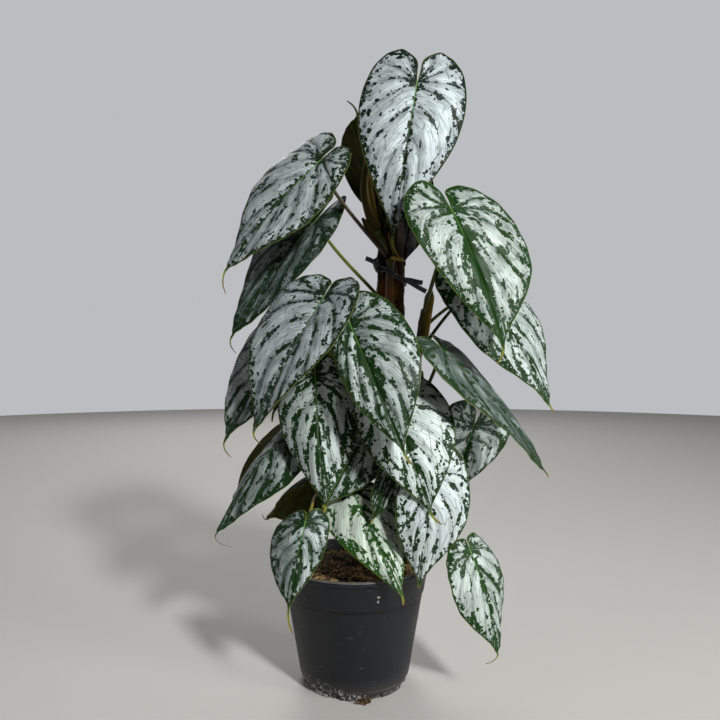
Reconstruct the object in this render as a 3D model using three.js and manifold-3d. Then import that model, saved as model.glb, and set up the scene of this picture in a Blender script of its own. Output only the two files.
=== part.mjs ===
// Potted silver leaf philodendron: a nursery pot, potting mix, a coir pole, three tied vines and
// their heart-shaped leaves. Millimetres, +Z up, origin at the middle of the pot's base. -Y is the front.
import * as THREE from 'three';
import { mergeVertices } from 'three/addons/utils/BufferGeometryUtils.js';
import Module from 'manifold-3d';

const wasm = await Module();
wasm.setup();

const MERGE_DISTANCE = 1e-4;

// Pot
const POT_HEIGHT = 97;
const POT_BASE_RADIUS = 43.3;
const POT_WALL_SLOPE = 0.17;
const POT_WALL = 1.4;
const POT_FLOOR = 2.0;
const POT_SEGMENTS = 36;
const FOOT_HEIGHT = 6.5;
const FOOT_STEP = 1.6;
const CHANNEL_HEIGHT = 3;
const CHANNEL_INNER = 22;
const CHANNEL_OUTER = 33;
const BAND_HEIGHT = 73;
const BAND_STEP = 0.9;
const LIP_HEIGHT = 5;
const LIP_STEP = 1.3;
const DRAIN_COUNT = 8;
const DRAIN_WIDTH = 11;
const DRAIN_DEPTH = 7;
const DRAIN_HEIGHT = 3.2;
// The rise of each small step in the wall, and the rounding of the lip and the channel
const STEP_RISE = 0.8;
const ROUNDING = 1;

// Potting mix
const CLEARANCE = 0.35;
const MIX_EDGE_HEIGHT = 86;
const MIX_HEAP = 6;
const MIX_BUMP = 1.6;
const MIX_RINGS = 6;
const HOLE_SIDES = 16;

// Coir pole
const POLE_RADIUS = 10.6;
const POLE_TOP = [30, 2, 372];
const POLE_FOOT = [28, 2, 22];
const POLE_SEGMENTS = 16;
const POLE_STEPS = 12;
const POLE_ROUGHNESS = 0.7;

// Leaves
const BLADE_THICKNESS = 0.8;
const BLADE_ROWS = 12;
const BLADE_COLUMNS = 3;
const DRIP_ROWS = 2;
const DRIP_HALF_WIDTH = 0.55;
// How high each half arches between midrib and edge, as a share of its width
const ARCH = 0.07;
// The arch and the waves grow from nothing over these shares of the width and the outline
const ARCH_START = 0.67;
const WAVE_FADE = 0.17;
const WAVE_HEIGHT = 1.5;
const WAVE_COUNT = 2.6;
// The waves of the two halves, and of one leaf and the next, are out of step by these shares of a wave
const HALF_LAG = 0.37;
const LEAF_LAG = 0.29;
// The turn of the midrib from base to tip, in degrees
const BEND = 25;
// How far the veins sweep forward on their way out, and how the outer stretch of each half draws in
const VEIN_SWEEP = 0.45;
const EDGE_TAPER = 0.25;
// The share of the midrib from which the drip tip takes its direction
const DRIP_LEAD = 0.94;

// Petioles and stems
const STEM_SIDES = 7;
const PETIOLE_SIDES = 5;
const PETIOLE_RADIUS = 1.5;
const PETIOLE_STEPS = 7;
// The hook by which a petiole comes up behind a blade: its length as a share of the blade's, and how
// far it lies back from the blade's face and down along the blade
const PETIOLE_HOOK = 0.14;
const HOOK_BACK = 0.75;
const HOOK_DOWN = 0.65;

// The outline of one half of a blade, from the notch at the petiole round the lobe to the tip:
// along as a share of the length, across as a share of the half width.
const OUTLINE = [
  [-0.2, 0.08], [-0.275, 0.3], [-0.26, 0.56], [-0.165, 0.82], [0.0, 0.97], [0.18, 1.0],
  [0.38, 0.9], [0.58, 0.66], [0.755, 0.39], [0.885, 0.175], [0.965, 0.06], [1.0, 0.03],
];
const WIDEST_ALONG = 0.14;
// Up to this share of the outline the veins start at the petiole, and after it along the midrib.
const FAN_SHARE = 0.4;
const RIB_POWER = 1.35;
// The share of the length over which the lobes behind the petiole lift out of the blade's bend
const LOBE_LIFT = 0.35;

// One row a leaf. base is where the petiole meets the blade. tip, left and right are measured from
// base: the blade's tip and the widest place of each half, as seen on the upper face with the tip
// down. drip is measured from the tip. lobe scales the lobes behind the base, and bend is the turn of
// the midrib where it isn't the usual one. vine and node say which stem carries the leaf, and how
// high, lead is how far the petiole first runs from there, and turn is where it comes to the base from.
const LEAVES = [
  { name: 'leaf_01_crown', base: [48, -38, 472], tip: [-19, -6, -117], drip: [6, -6, -20], lobe: 0.88,
    left: [-44, 2, -15], right: [37, 2, -22], vine: 'vine_main', node: 364, lead: [-34, 4, 60] },
  { name: 'leaf_02_right_high', base: [71, -58, 371], tip: [35, -14, -101], drip: [-4, 0, -13], lobe: 0.84,
    left: [-29, -12, -20], right: [57, 11, -21], vine: 'vine_right', node: 290, lead: [8, -16, 36] },
  { name: 'leaf_03_right_under', base: [92, -25, 324], tip: [56, -15, -98], drip: [4, -2, -6], lobe: 0.75,
    left: [-17, -20, -33], right: [51, 25, -20], vine: 'vine_right', node: 280, lead: [10, 2, 20] },
  { name: 'leaf_04_right_narrow', base: [65, -45, 269], tip: [77, -10, -93], drip: [1, -2, -3],
    lobe: 0.5, bend: 16,
    left: [-3, -32, -20], right: [29, 36, -13], vine: 'vine_right', node: 205, lead: [6, -8, 30] },
  { name: 'leaf_05_left_high', base: [-26, -25, 417], tip: [-72, -10, -87], drip: [0, -5, -20],
    lobe: 0.85, bend: 16,
    left: [-40, 23, 3], right: [1, -25, -44], vine: 'vine_main', node: 340, lead: [-14, -2, 16] },
  { name: 'leaf_06_left_shaded', base: [-30, -2, 376], tip: [-69, -10, -98], drip: [4, -2, -13], bend: 16,
    left: [-41, 16, -5], right: [-4, -24, -40], vine: 'vine_main', node: 300, lead: [-8, -2, 14] },
  { name: 'leaf_07_left_edge', base: [-44, -35, 287], tip: [-53, -13, -88], drip: [5, -2, -12],
    left: [-42, 15, -13], right: [1, -13, -34], vine: 'vine_main', node: 230, lead: [-14, -6, 30] },
  { name: 'leaf_08_front_left', base: [-21, -62, 307], tip: [-48, -22, -96], drip: [5, -4, -9],
    lobe: 0.62, bend: 16,
    left: [-46, 14, -11], right: [17, -26, -20], vine: 'vine_main', node: 262, lead: [-8, -7, 70] },
  { name: 'leaf_09_front_middle', base: [-3, -58, 286], tip: [37, -30, -89], drip: [6, -4, -9],
    left: [-7, -16, -37], right: [46, -8, -7], vine: 'vine_main', node: 240, lead: [-2, -16, 24] },
  { name: 'leaf_10_front_inner', base: [-30, -38, 248], tip: [9, -20, -95], drip: [-1, -2, -5], lobe: 0.8,
    left: [-29, 10, -29], right: [33, 2, -28], vine: 'vine_low', node: 170, lead: [-4, -2, 36] },
  { name: 'leaf_11_front_right', base: [25, -50, 233], tip: [29, -22, -81], drip: [8, -6, -8],
    left: [-21, -10, -27], right: [47, -2, -12], vine: 'vine_main', node: 206, lead: [2, -12, 24] },
  { name: 'leaf_12_low_left', base: [-57, -15, 200], tip: [-52, -7, -77], drip: [14, -8, -9],
    lobe: 0.8, bend: 16,
    left: [-27, 31, -28], right: [14, -21, -26], vine: 'vine_low', node: 160, lead: [-14, -4, 34] },
  { name: 'leaf_13_low_left_turned', base: [-22, 6, 171], tip: [-53, 10, -46], drip: [-4, 2, 4], lobe: 0.5,
    left: [-9, 30, -44], right: [-27, -20, -15], vine: 'vine_low', node: 126, lead: [-6, -8, 20] },
  { name: 'leaf_14_front_small', base: [-35, -66, 143], tip: [-11, -12, -58], drip: [3, -2, -17],
    lobe: 0.65,
    left: [-26, 8, -18], right: [16, 2, -14], vine: 'vine_low', node: 140, lead: [-42, -8, 22],
    turn: [8, 12, 14] },
  { name: 'leaf_15_low_middle', base: [-2, -34, 159], tip: [36, -38, -67], drip: [1, -3, -6], lobe: 0.55,
    left: [-22, -8, -20], right: [34, -4, -12], vine: 'vine_low', node: 134, lead: [2, -8, 20] },
  { name: 'leaf_16_low_right', base: [56, -60, 179], tip: [-9, -6, -81], drip: [1, 6, -5],
    left: [-26, -6, -24], right: [30, 6, -22], vine: 'vine_main', node: 136, lead: [6, -16, 24] },
  { name: 'leaf_17_hanging_right', base: [87, -45, 117], tip: [20, -5, -76], drip: [-10, -5, -6], lobe: 0.6,
    left: [-16, -13, -27], right: [25, 17, -17], vine: 'vine_right', node: 104, lead: [14, -10, 22] },
  { name: 'leaf_18_right_middle', base: [100, 8, 206], tip: [-25, -8, -57], drip: [-3, -2, -5],
    left: [-33, -14, 1], right: [31, 16, -14], vine: 'vine_right', node: 150, lead: [16, 2, 26] },
  { name: 'leaf_19_upright_back', base: [13, 6, 401], tip: [-11, 12, 68], drip: [-9, 2, 12],
    left: [-25, 22, 33], right: [23, 0, 33], vine: 'vine_main', node: 362, lead: [-2, 6, 14] },
  { name: 'leaf_20_crown_back', base: [54, 6, 405], tip: [-12, 2, -62], drip: [0, 0, -5],
    left: [11, 12, -24], right: [-20, 10, -19], vine: 'vine_main', node: 356, lead: [6, 0, 40] },
  { name: 'leaf_21_back_right', base: [112, 30, 345], tip: [33, 34, -58], drip: [2, 2, -9],
    left: [33, 6, -11], right: [-21, 10, -19], vine: 'vine_right', node: 260, lead: [12, 12, 30] },
  { name: 'leaf_22_back_left', base: [-41, 20, 296], tip: [-30, 14, -81], drip: [-2, 2, -10],
    left: [26, 18, -26], right: [-36, 12, -24], vine: 'vine_main', node: 252, lead: [-12, 8, 22] },
  { name: 'leaf_23_inner_shade', base: [15, -30, 207], tip: [-37, -20, -55], drip: [-2, 0, -3],
    left: [-30, 12, -14], right: [5, -10, -32], vine: 'vine_main', node: 172, lead: [-2, -6, 20] },
  { name: 'leaf_24_inner_narrow', base: [37, -36, 201], tip: [-23, -22, -58], drip: [-2, -1, -3],
    left: [-20, -16, -27], right: [-1, -14, -33], vine: 'vine_main', node: 158, lead: [4, -10, 18] },
  { name: 'leaf_25_low_left_back', base: [-59, 22, 198], tip: [-44, 8, -53], drip: [-3, -2, -5],
    left: [0, 30, -38], right: [-29, 22, -15], vine: 'vine_low', node: 160, lead: [-10, 10, 22] },
  { name: 'leaf_26_back_middle', base: [22, 46, 262], tip: [8, 32, -90], drip: [2, 4, -10],
    left: [34, 6, -24], right: [-36, 8, -22], vine: 'vine_right', node: 196, lead: [-4, 14, 20] },
  { name: 'leaf_27_back_low_right', base: [58, 42, 190], tip: [10, 34, -74], drip: [2, 4, -9],
    left: [32, 4, -20], right: [-32, 8, -20], vine: 'vine_right', node: 126, lead: [2, 14, 20] },
  { name: 'leaf_28_back_low', base: [-10, 44, 200], tip: [-8, 30, -76], drip: [-2, 4, -9],
    left: [34, 6, -22], right: [-32, 8, -20], vine: 'vine_low', node: 140, lead: [-2, 14, 20] },
];

// The vines: the places that each stem passes on its way up, its radius, and old leaf sheaths
const VINES = [
  { name: 'vine_main', radius: 3.2, sheaths: [
    { from: [25, -13.5, 346], to: [6, -12, 374], radius: 2.6 },
    { from: [28, -14.8, 336], to: [32, -14.8, 379], radius: 4 }],
    path: [[27, -13.8, 78], [27, -13.8, 150], [27.5, -13.8, 240], [28, -13.8, 320], [28.4, -13.8, 340],
      [22, -13.8, 357], [16, -12, 367]] },
  { name: 'vine_right', radius: 2.8, sheaths: [],
    path: [[44, 10, 78], [47, 10, 150], [51, 9, 230], [56, 7, 302]] },
  { name: 'vine_low', radius: 2.6, sheaths: [],
    path: [[5, 5, 78], [2, 4, 130], [-3, 2, 176]] },
];

// Plant tie
const TIE_HEIGHT = 329;
const TIE_SLOPE = -0.5;
const TIE_WIDTH = 4;
const TIE_THICKNESS = 1.2;
const TIE_POINTS = 28;
const TIE_SLACK = 0.8;
const TIE_TAILS = [
  { from: [34, -11.5, 327], to: [57, -18, 314] },
  { from: [38.5, -5.5, 325], to: [55, -9, 322] },
  { from: [20, -8, 335], to: [9, -9, 342] },
];

const COLOURS = {
  pot: 0x26282b,
  mix: 0x3a2a1b,
  coir: 0x4a2c17,
  tie: 0x17181a,
  stem: 0x4c5a26,
  blade: 0x8fa198,
};

function at(place) {
  return new THREE.Vector3(...place);
}

function finish(colour, roughness) {
  return new THREE.MeshStandardMaterial({ color: colour, roughness, metalness: 0 });
}

// A geometry with only its positions, each shared by the triangles that meet there
function shared(geometry) {
  const bare = geometry.clone();
  bare.deleteAttribute('normal');
  bare.deleteAttribute('uv');
  return mergeVertices(bare, MERGE_DISTANCE);
}

// A closed geometry as a solid that can be cut and joined
function solidOf(geometry) {
  const merged = shared(geometry);
  const vertProperties = new Float32Array(merged.attributes.position.array);
  const triVerts = new Uint32Array(merged.index.array);
  return new wasm.Manifold(new wasm.Mesh({ numProp: 3, vertProperties, triVerts }));
}

function meshOf(solid, name, material) {
  const data = solid.getMesh();
  const geometry = new THREE.BufferGeometry();
  geometry.setAttribute('position', new THREE.BufferAttribute(new Float32Array(data.vertProperties), 3));
  geometry.setIndex(new THREE.BufferAttribute(new Uint32Array(data.triVerts), 1));
  geometry.computeVertexNormals();
  const mesh = new THREE.Mesh(geometry, material);
  mesh.name = name;
  return mesh;
}

// A round rod along a curve
function rodSolid(curve, radius, sides, steps) {
  const section = new THREE.Shape();
  for (let side = 0; side < sides; side += 1) {
    const angle = (2 * Math.PI * side) / sides;
    const point = [radius * Math.cos(angle), radius * Math.sin(angle)];
    if (side === 0) section.moveTo(...point);
    else section.lineTo(...point);
  }
  section.closePath();
  return solidOf(new THREE.ExtrudeGeometry(section, { steps, extrudePath: curve, curveSegments: 1 }));
}

function wallRadius(height) {
  return POT_BASE_RADIUS + POT_WALL_SLOPE * height;
}

// The pot: one turned wall with a stepped foot, a collar band and a rolled lip, and drain slots
function makePot() {
  const bandOuter = (height) => wallRadius(height) + BAND_STEP;
  const lipStart = POT_HEIGHT - LIP_HEIGHT;
  const lipOuter = bandOuter(POT_HEIGHT) + LIP_STEP;
  const innerBase = wallRadius(FOOT_HEIGHT + POT_FLOOR) - POT_WALL;
  const innerTop = bandOuter(POT_HEIGHT) - POT_WALL;
  const profile = [
    [0, 0],
    [CHANNEL_INNER, 0],
    [CHANNEL_INNER + ROUNDING, CHANNEL_HEIGHT],
    [CHANNEL_OUTER, CHANNEL_HEIGHT],
    [CHANNEL_OUTER + ROUNDING, 0],
    [POT_BASE_RADIUS - FOOT_STEP, 0],
    [wallRadius(FOOT_HEIGHT) - FOOT_STEP, FOOT_HEIGHT],
    [wallRadius(FOOT_HEIGHT), FOOT_HEIGHT + STEP_RISE],
    [wallRadius(BAND_HEIGHT), BAND_HEIGHT],
    [bandOuter(BAND_HEIGHT), BAND_HEIGHT + STEP_RISE],
    [bandOuter(lipStart), lipStart],
    [lipOuter, lipStart + ROUNDING],
    [lipOuter, POT_HEIGHT - ROUNDING],
    [lipOuter - ROUNDING, POT_HEIGHT],
    [innerTop, POT_HEIGHT],
    [innerTop - ROUNDING / 2, POT_HEIGHT - ROUNDING],
    [wallRadius(BAND_HEIGHT) - POT_WALL, BAND_HEIGHT - 2],
    [innerBase, FOOT_HEIGHT + POT_FLOOR],
    [0, FOOT_HEIGHT + POT_FLOOR],
  ];
  const points = profile.map(([radius, height]) => new THREE.Vector2(radius, height));
  const turned = new THREE.LatheGeometry(points, POT_SEGMENTS);
  turned.rotateX(Math.PI / 2);
  let pot = solidOf(turned);
  for (let slot = 0; slot < DRAIN_COUNT; slot += 1) {
    const notch = new THREE.BoxGeometry(DRAIN_DEPTH, DRAIN_WIDTH, 2 * DRAIN_HEIGHT);
    notch.translate(POT_BASE_RADIUS, 0, 0);
    notch.rotateZ((2 * Math.PI * (slot + 0.5)) / DRAIN_COUNT);
    pot = pot.subtract(solidOf(notch));
  }
  return meshOf(pot, 'pot', finish(COLOURS.pot, 0.45));
}

// A gentle unevenness for loose and fibrous surfaces
function ripple(first, second) {
  return 0.5 * (Math.sin(first + 1.7 * Math.sin(second)) + Math.sin(1.3 * second - 0.6 * first));
}

function linePath(from, to) {
  return new THREE.LineCurve3(at(from), at(to));
}

// The mix: a turned body that fills the pot, heaped and lumpy on top, with plain holes for the pole
// and the stems that stand in it
function makeMix(holes) {
  const foot = FOOT_HEIGHT + POT_FLOOR + CLEARANCE;
  const inner = (height) => wallRadius(height) - POT_WALL - CLEARANCE;
  const edge = inner(MIX_EDGE_HEIGHT);
  const points = [new THREE.Vector2(0, foot), new THREE.Vector2(inner(foot), foot)];
  for (let ring = 0; ring <= MIX_RINGS; ring += 1) {
    const share = 1 - ring / MIX_RINGS;
    const radius = ring === MIX_RINGS ? 0 : edge * share;
    points.push(new THREE.Vector2(radius, MIX_EDGE_HEIGHT + MIX_HEAP * (1 - share * share)));
  }
  const turned = shared(new THREE.LatheGeometry(points, POT_SEGMENTS));
  turned.rotateX(Math.PI / 2);
  const place = turned.attributes.position;
  for (let k = 0; k < place.count; k += 1) {
    if (place.getZ(k) > foot + 1) {
      place.setZ(k, place.getZ(k) + MIX_BUMP * ripple(place.getX(k) / 4.5, place.getY(k) / 5.5));
    }
  }
  let mix = solidOf(turned);
  for (const { curve, radius } of holes) {
    mix = mix.subtract(rodSolid(curve, radius + CLEARANCE, HOLE_SIDES, 1));
  }
  return meshOf(mix, 'potting_mix', finish(COLOURS.mix, 0.95));
}

function poleAxis(height) {
  const share = (height - POLE_FOOT[2]) / (POLE_TOP[2] - POLE_FOOT[2]);
  return at(POLE_FOOT).lerp(at(POLE_TOP), share);
}

// The pole: a rough fibrous cylinder that leans a little
function makePole() {
  const height = POLE_TOP[2] - POLE_FOOT[2];
  const pole = shared(new THREE.CylinderGeometry(
    POLE_RADIUS, POLE_RADIUS, height, POLE_SEGMENTS, POLE_STEPS,
  ));
  pole.rotateX(Math.PI / 2);
  pole.translate(0, 0, POLE_FOOT[2] + height / 2);
  const place = pole.attributes.position;
  for (let k = 0; k < place.count; k += 1) {
    const point = new THREE.Vector3().fromBufferAttribute(place, k);
    const distance = Math.hypot(point.x, point.y);
    const turn = Math.atan2(point.y, point.x);
    const rough = distance < 1 ? 1 : 1 + (POLE_ROUGHNESS / POLE_RADIUS)
      * 0.5 * (Math.sin(5 * turn + point.z / 9) + Math.sin(3 * turn - point.z / 6));
    const axis = poleAxis(point.z);
    place.setXYZ(k, axis.x + point.x * rough, axis.y + point.y * rough, point.z);
  }
  return meshOf(solidOf(pole), 'coir_pole', finish(COLOURS.coir, 0.95));
}

// The tie: a flat band drawn round the pole and the stem beside it, lower on the right, with its ends
function makeTie() {
  const pole = poleAxis(TIE_HEIGHT);
  const main = VINES[0];
  const stem = stemAt(main, TIE_HEIGHT);
  const outline = (extra) => {
    const rounds = [
      { x: pole.x, y: pole.y, radius: POLE_RADIUS + POLE_ROUGHNESS + extra },
      { x: stem.x, y: stem.y, radius: main.radius + extra },
    ];
    const points = [];
    for (let k = 0; k < TIE_POINTS; k += 1) {
      const angle = (2 * Math.PI * k) / TIE_POINTS;
      const [x, y] = [Math.cos(angle), Math.sin(angle)];
      const reach = rounds.map((round) => round.x * x + round.y * y + round.radius);
      const round = reach[0] > reach[1] ? rounds[0] : rounds[1];
      points.push(new THREE.Vector2(round.x + round.radius * x, round.y + round.radius * y));
    }
    return points;
  };
  const band = new THREE.Shape(outline(TIE_SLACK + TIE_THICKNESS));
  band.holes.push(new THREE.Path(outline(TIE_SLACK)));
  const ring = new THREE.ExtrudeGeometry(band, { depth: TIE_WIDTH, bevelEnabled: false, curveSegments: 1 });
  ring.translate(0, 0, TIE_HEIGHT - TIE_WIDTH / 2);
  const place = ring.attributes.position;
  for (let k = 0; k < place.count; k += 1) {
    place.setZ(k, place.getZ(k) + TIE_SLOPE * (place.getX(k) - pole.x));
  }
  let tie = solidOf(ring);
  for (const tail of TIE_TAILS) {
    const run = at(tail.to).sub(at(tail.from));
    const strap = new THREE.BoxGeometry(run.length(), TIE_THICKNESS, TIE_WIDTH);
    const turn = new THREE.Quaternion();
    turn.setFromUnitVectors(new THREE.Vector3(1, 0, 0), run.clone().normalize());
    strap.applyQuaternion(turn);
    strap.translate(...at(tail.from).addScaledVector(run, 0.5).toArray());
    tie = tie.add(solidOf(strap));
  }
  return meshOf(tie, 'plant_tie', finish(COLOURS.tie, 0.5));
}

function stemCurve(vine) {
  return new THREE.CatmullRomCurve3(vine.path.map(at));
}

// The place on a stem at a height
function stemAt(vine, height) {
  const curve = stemCurve(vine);
  let [low, high] = [0, 1];
  for (let step = 0; step < 30; step += 1) {
    const middle = (low + high) / 2;
    if (curve.getPoint(middle).z < height) low = middle;
    else high = middle;
  }
  return curve.getPoint(low);
}

// A petiole runs from its node on the stem and bends over behind the blade that it carries
function petioleCurve(vine, leaf) {
  const { rib, length } = bladeFrame(leaf);
  const face = rib(0).out;
  const down = rib(0.05).place.sub(rib(0).place).normalize();
  const start = stemAt(vine, leaf.node);
  const hook = face.clone().multiplyScalar(-HOOK_BACK).addScaledVector(down, HOOK_DOWN);
  hook.setLength(PETIOLE_HOOK * length);
  const turn = leaf.turn ? at(leaf.turn) : hook;
  const slant = Math.sin(turn.angleTo(face));
  const behind = CLEARANCE + BLADE_THICKNESS / 2 + PETIOLE_RADIUS * slant;
  const end = at(leaf.base).addScaledVector(face, -behind);
  return new THREE.CubicBezierCurve3(start, start.clone().add(at(leaf.lead)), end.clone().add(turn), end);
}

// A vine: its stem, the petioles of its leaves and old sheaths, grown together
function makeVine(vine) {
  let solid = rodSolid(stemCurve(vine), vine.radius, STEM_SIDES, 2 * vine.path.length);
  for (const leaf of LEAVES.filter((row) => row.vine === vine.name)) {
    solid = solid.add(rodSolid(petioleCurve(vine, leaf), PETIOLE_RADIUS, PETIOLE_SIDES, PETIOLE_STEPS));
  }
  for (const sheath of vine.sheaths) {
    solid = solid.add(rodSolid(linePath(sheath.from, sheath.to), sheath.radius, PETIOLE_SIDES, 1));
  }
  return meshOf(solid, vine.name, finish(COLOURS.stem, 0.6));
}

// A point of the outline's smooth curve through its places
function outlineAt(share) {
  const last = OUTLINE.length - 1;
  const place = Math.min(Math.max(share, 0), 1) * last;
  const index = Math.min(Math.floor(place), last - 1);
  const u = place - index;
  const get = (k, axis) => {
    if (k < 0) return 2 * OUTLINE[0][axis] - OUTLINE[1][axis];
    if (k > last) return 2 * OUTLINE[last][axis] - OUTLINE[last - 1][axis];
    return OUTLINE[k][axis];
  };
  return [0, 1].map((axis) => {
    const [a, b, c, d] = [-1, 0, 1, 2].map((step) => get(index + step, axis));
    return 0.5 * (2 * b + (c - a) * u + (2 * a - 5 * b + 4 * c - d) * u * u
      + (3 * b - a - 3 * c + d) * u * u * u);
  });
}

function ribAt(share) {
  if (share <= FAN_SHARE) return 0;
  return ((share - FAN_SHARE) / (1 - FAN_SHARE)) ** RIB_POWER;
}

// The frame of a blade: its midrib is an arc from base to tip that bulges to the upper side
function bladeFrame(leaf) {
  const base = at(leaf.base);
  const chord = at(leaf.tip);
  const length = chord.length();
  const along = chord.clone().normalize();
  const span = at(leaf.right).sub(at(leaf.left));
  const face = new THREE.Vector3().crossVectors(along, span).normalize();
  const across = new THREE.Vector3().crossVectors(face, along).normalize();
  const bend = THREE.MathUtils.degToRad(leaf.bend ?? BEND);
  const radius = length / (2 * Math.sin(bend / 2));
  const rib = (share) => {
    const turn = share > 0 ? bend * (0.5 - share) : 0.5 * bend * (1 + share / LOBE_LIFT);
    const lean = (turn + 0.5 * bend) / 2;
    const behind = Math.min(share, 0) * radius * bend;
    const arc = share > 0 ? turn : 0.5 * bend;
    const forward = radius * (Math.sin(bend / 2) - Math.sin(arc)) + behind * Math.cos(lean);
    const rise = radius * (Math.cos(arc) - Math.cos(bend / 2)) + behind * Math.sin(lean);
    return {
      place: base.clone().addScaledVector(along, forward).addScaledVector(face, rise),
      out: face.clone().multiplyScalar(Math.cos(turn)).addScaledVector(along, -Math.sin(turn)),
    };
  };
  const halves = ['left', 'right'].map((side) => {
    const sign = side === 'left' ? -1 : 1;
    const edge = at(leaf[side]);
    const turn = Math.atan2(length / 2 - edge.dot(along), edge.dot(face) + radius * Math.cos(bend / 2));
    const share = 0.5 - turn / bend;
    const { place, out } = rib(share);
    const spread = edge.add(base).sub(place);
    const width = Math.hypot(spread.dot(across), spread.dot(out));
    const fold = Math.atan2(spread.dot(out), sign * spread.dot(across));
    return { sign, width, fold, shear: share - WIDEST_ALONG };
  });
  return { rib, halves, across, length };
}

// A place on the middle sheet of a blade: share runs round the outline and part from midrib to edge
function bladePlace(frame, half, leaf, share, part) {
  const [outlineAlong, edgeAcross] = outlineAt(share);
  const edgeAlong = outlineAlong < 0 ? outlineAlong * (leaf.lobe ?? 1) : outlineAlong;
  const start = ribAt(share);
  const sweep = part - VEIN_SWEEP * part * (1 - part);
  const spread = edgeAcross * part * (1 + EDGE_TAPER * (1 - part));
  const reach = start + (edgeAlong - start) * sweep + half.shear * spread;
  const { place, out } = frame.rib(reach);
  const arch = ARCH * half.width * 4 * part * (1 - part) * Math.min(1, edgeAcross / ARCH_START);
  const phase = WAVE_COUNT * share + HALF_LAG * half.sign + LEAF_LAG * LEAVES.indexOf(leaf);
  const fade = Math.min(1, (1 - share) / WAVE_FADE);
  const wave = WAVE_HEIGHT * fade * part * part * Math.sin(2 * Math.PI * phase);
  const run = half.width * spread;
  return place.addScaledVector(frame.across, half.sign * run * Math.cos(half.fold))
    .addScaledVector(out, run * Math.sin(half.fold) + arch + wave);
}

// The thin curled end: narrow rows that follow a curve from the tip to the end of the drip
function dripRows(frame, leaf) {
  const tip = at(leaf.base).add(at(leaf.tip));
  const end = tip.clone().add(at(leaf.drip));
  const before = frame.rib(DRIP_LEAD).place;
  const reach = at(leaf.drip).length();
  const lead = tip.clone().sub(before).normalize().multiplyScalar(0.5 * reach);
  const curve = new THREE.QuadraticBezierCurve3(tip, tip.clone().add(lead), end);
  const rows = [];
  for (let row = 1; row <= DRIP_ROWS; row += 1) {
    const middle = curve.getPoint(row / DRIP_ROWS);
    rows.push([-1, 1].map((sign) => middle.clone().addScaledVector(frame.across, sign * DRIP_HALF_WIDTH)));
  }
  return rows;
}

// A blade as one closed sheet of even thickness, its two faces split into the same triangles
function bladeSolid(leaf) {
  const frame = bladeFrame(leaf);
  const points = [];
  const faces = [];
  const add = (point) => points.push(point) - 1;
  const midrib = [];
  let first = -1;
  for (let row = 0; row <= BLADE_ROWS; row += 1) {
    const share = row / BLADE_ROWS;
    if (ribAt(share) === 0 && first >= 0) midrib.push(first);
    else midrib.push(add(frame.rib(ribAt(share)).place));
    if (row === 0) [first] = midrib;
  }
  const edges = frame.halves.map((half) => {
    const grid = midrib.map((middle, row) => {
      const line = [middle];
      for (let column = 1; column <= BLADE_COLUMNS; column += 1) {
        const place = bladePlace(frame, half, leaf, row / BLADE_ROWS, column / BLADE_COLUMNS);
        line.push(add(place));
      }
      return line;
    });
    for (let row = 0; row < BLADE_ROWS; row += 1) {
      for (let column = 0; column < BLADE_COLUMNS; column += 1) {
        const [a, b] = [grid[row][column], grid[row][column + 1]];
        const [d, c] = [grid[row + 1][column], grid[row + 1][column + 1]];
        const corners = half.sign > 0 ? [[a, c, b], [a, d, c]] : [[a, b, c], [a, c, d]];
        corners.filter(([p, q, r]) => p !== q && q !== r && p !== r).forEach((face) => faces.push(face));
      }
    }
    return grid;
  });
  const [leftEnd, rightEnd] = edges.map((grid) => grid.at(-1));
  let previous = [...leftEnd.slice(1).reverse(), ...rightEnd];
  for (const [leftPoint, rightPoint] of dripRows(frame, leaf)) {
    const [left, right] = [add(leftPoint), add(rightPoint)];
    const middle = Math.floor(previous.length / 2);
    for (let k = 1; k < previous.length; k += 1) {
      faces.push([previous[k - 1], k > middle ? right : left, previous[k]]);
    }
    faces.push([previous[middle], left, right]);
    previous = [left, right];
  }
  return sheetSolid(points, faces, BLADE_THICKNESS);
}

// A sheet of triangles made into a closed solid of even thickness
function sheetSolid(points, faces, thickness) {
  const normals = points.map(() => new THREE.Vector3());
  for (const [a, b, c] of faces) {
    const edge = points[b].clone().sub(points[a]);
    const normal = edge.cross(points[c].clone().sub(points[a]));
    [a, b, c].forEach((index) => normals[index].add(normal));
  }
  const count = points.length;
  const positions = [];
  for (const side of [0.5, -0.5]) {
    points.forEach((point, index) => {
      const lifted = point.clone().addScaledVector(normals[index].clone().normalize(), side * thickness);
      positions.push(lifted.x, lifted.y, lifted.z);
    });
  }
  const indices = [];
  const open = new Map();
  for (const [a, b, c] of faces) {
    indices.push(a, b, c, a + count, c + count, b + count);
    for (const [from, to] of [[a, b], [b, c], [c, a]]) {
      const back = `${to} ${from}`;
      if (open.has(back)) open.delete(back);
      else open.set(`${from} ${to}`, [from, to]);
    }
  }
  for (const [from, to] of open.values()) {
    indices.push(from, from + count, to + count, from, to + count, to);
  }
  const geometry = new THREE.BufferGeometry();
  geometry.setAttribute('position', new THREE.Float32BufferAttribute(positions, 3));
  geometry.setIndex(indices);
  return solidOf(geometry);
}

const holes = VINES.map((vine) => {
  const [foot, next] = [at(vine.path[0]), at(vine.path[1])];
  const run = next.sub(foot);
  const curve = new THREE.LineCurve3(
    foot.clone().addScaledVector(run, -CLEARANCE / run.length()),
    foot.clone().addScaledVector(run, 0.5),
  );
  return { curve, radius: vine.radius };
});
const poleFoot = poleAxis(POLE_FOOT[2] - CLEARANCE);
const poleHole = new THREE.LineCurve3(poleFoot, poleAxis(POT_HEIGHT + 10));
holes.push({ curve: poleHole, radius: POLE_RADIUS + POLE_ROUGHNESS });

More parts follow.
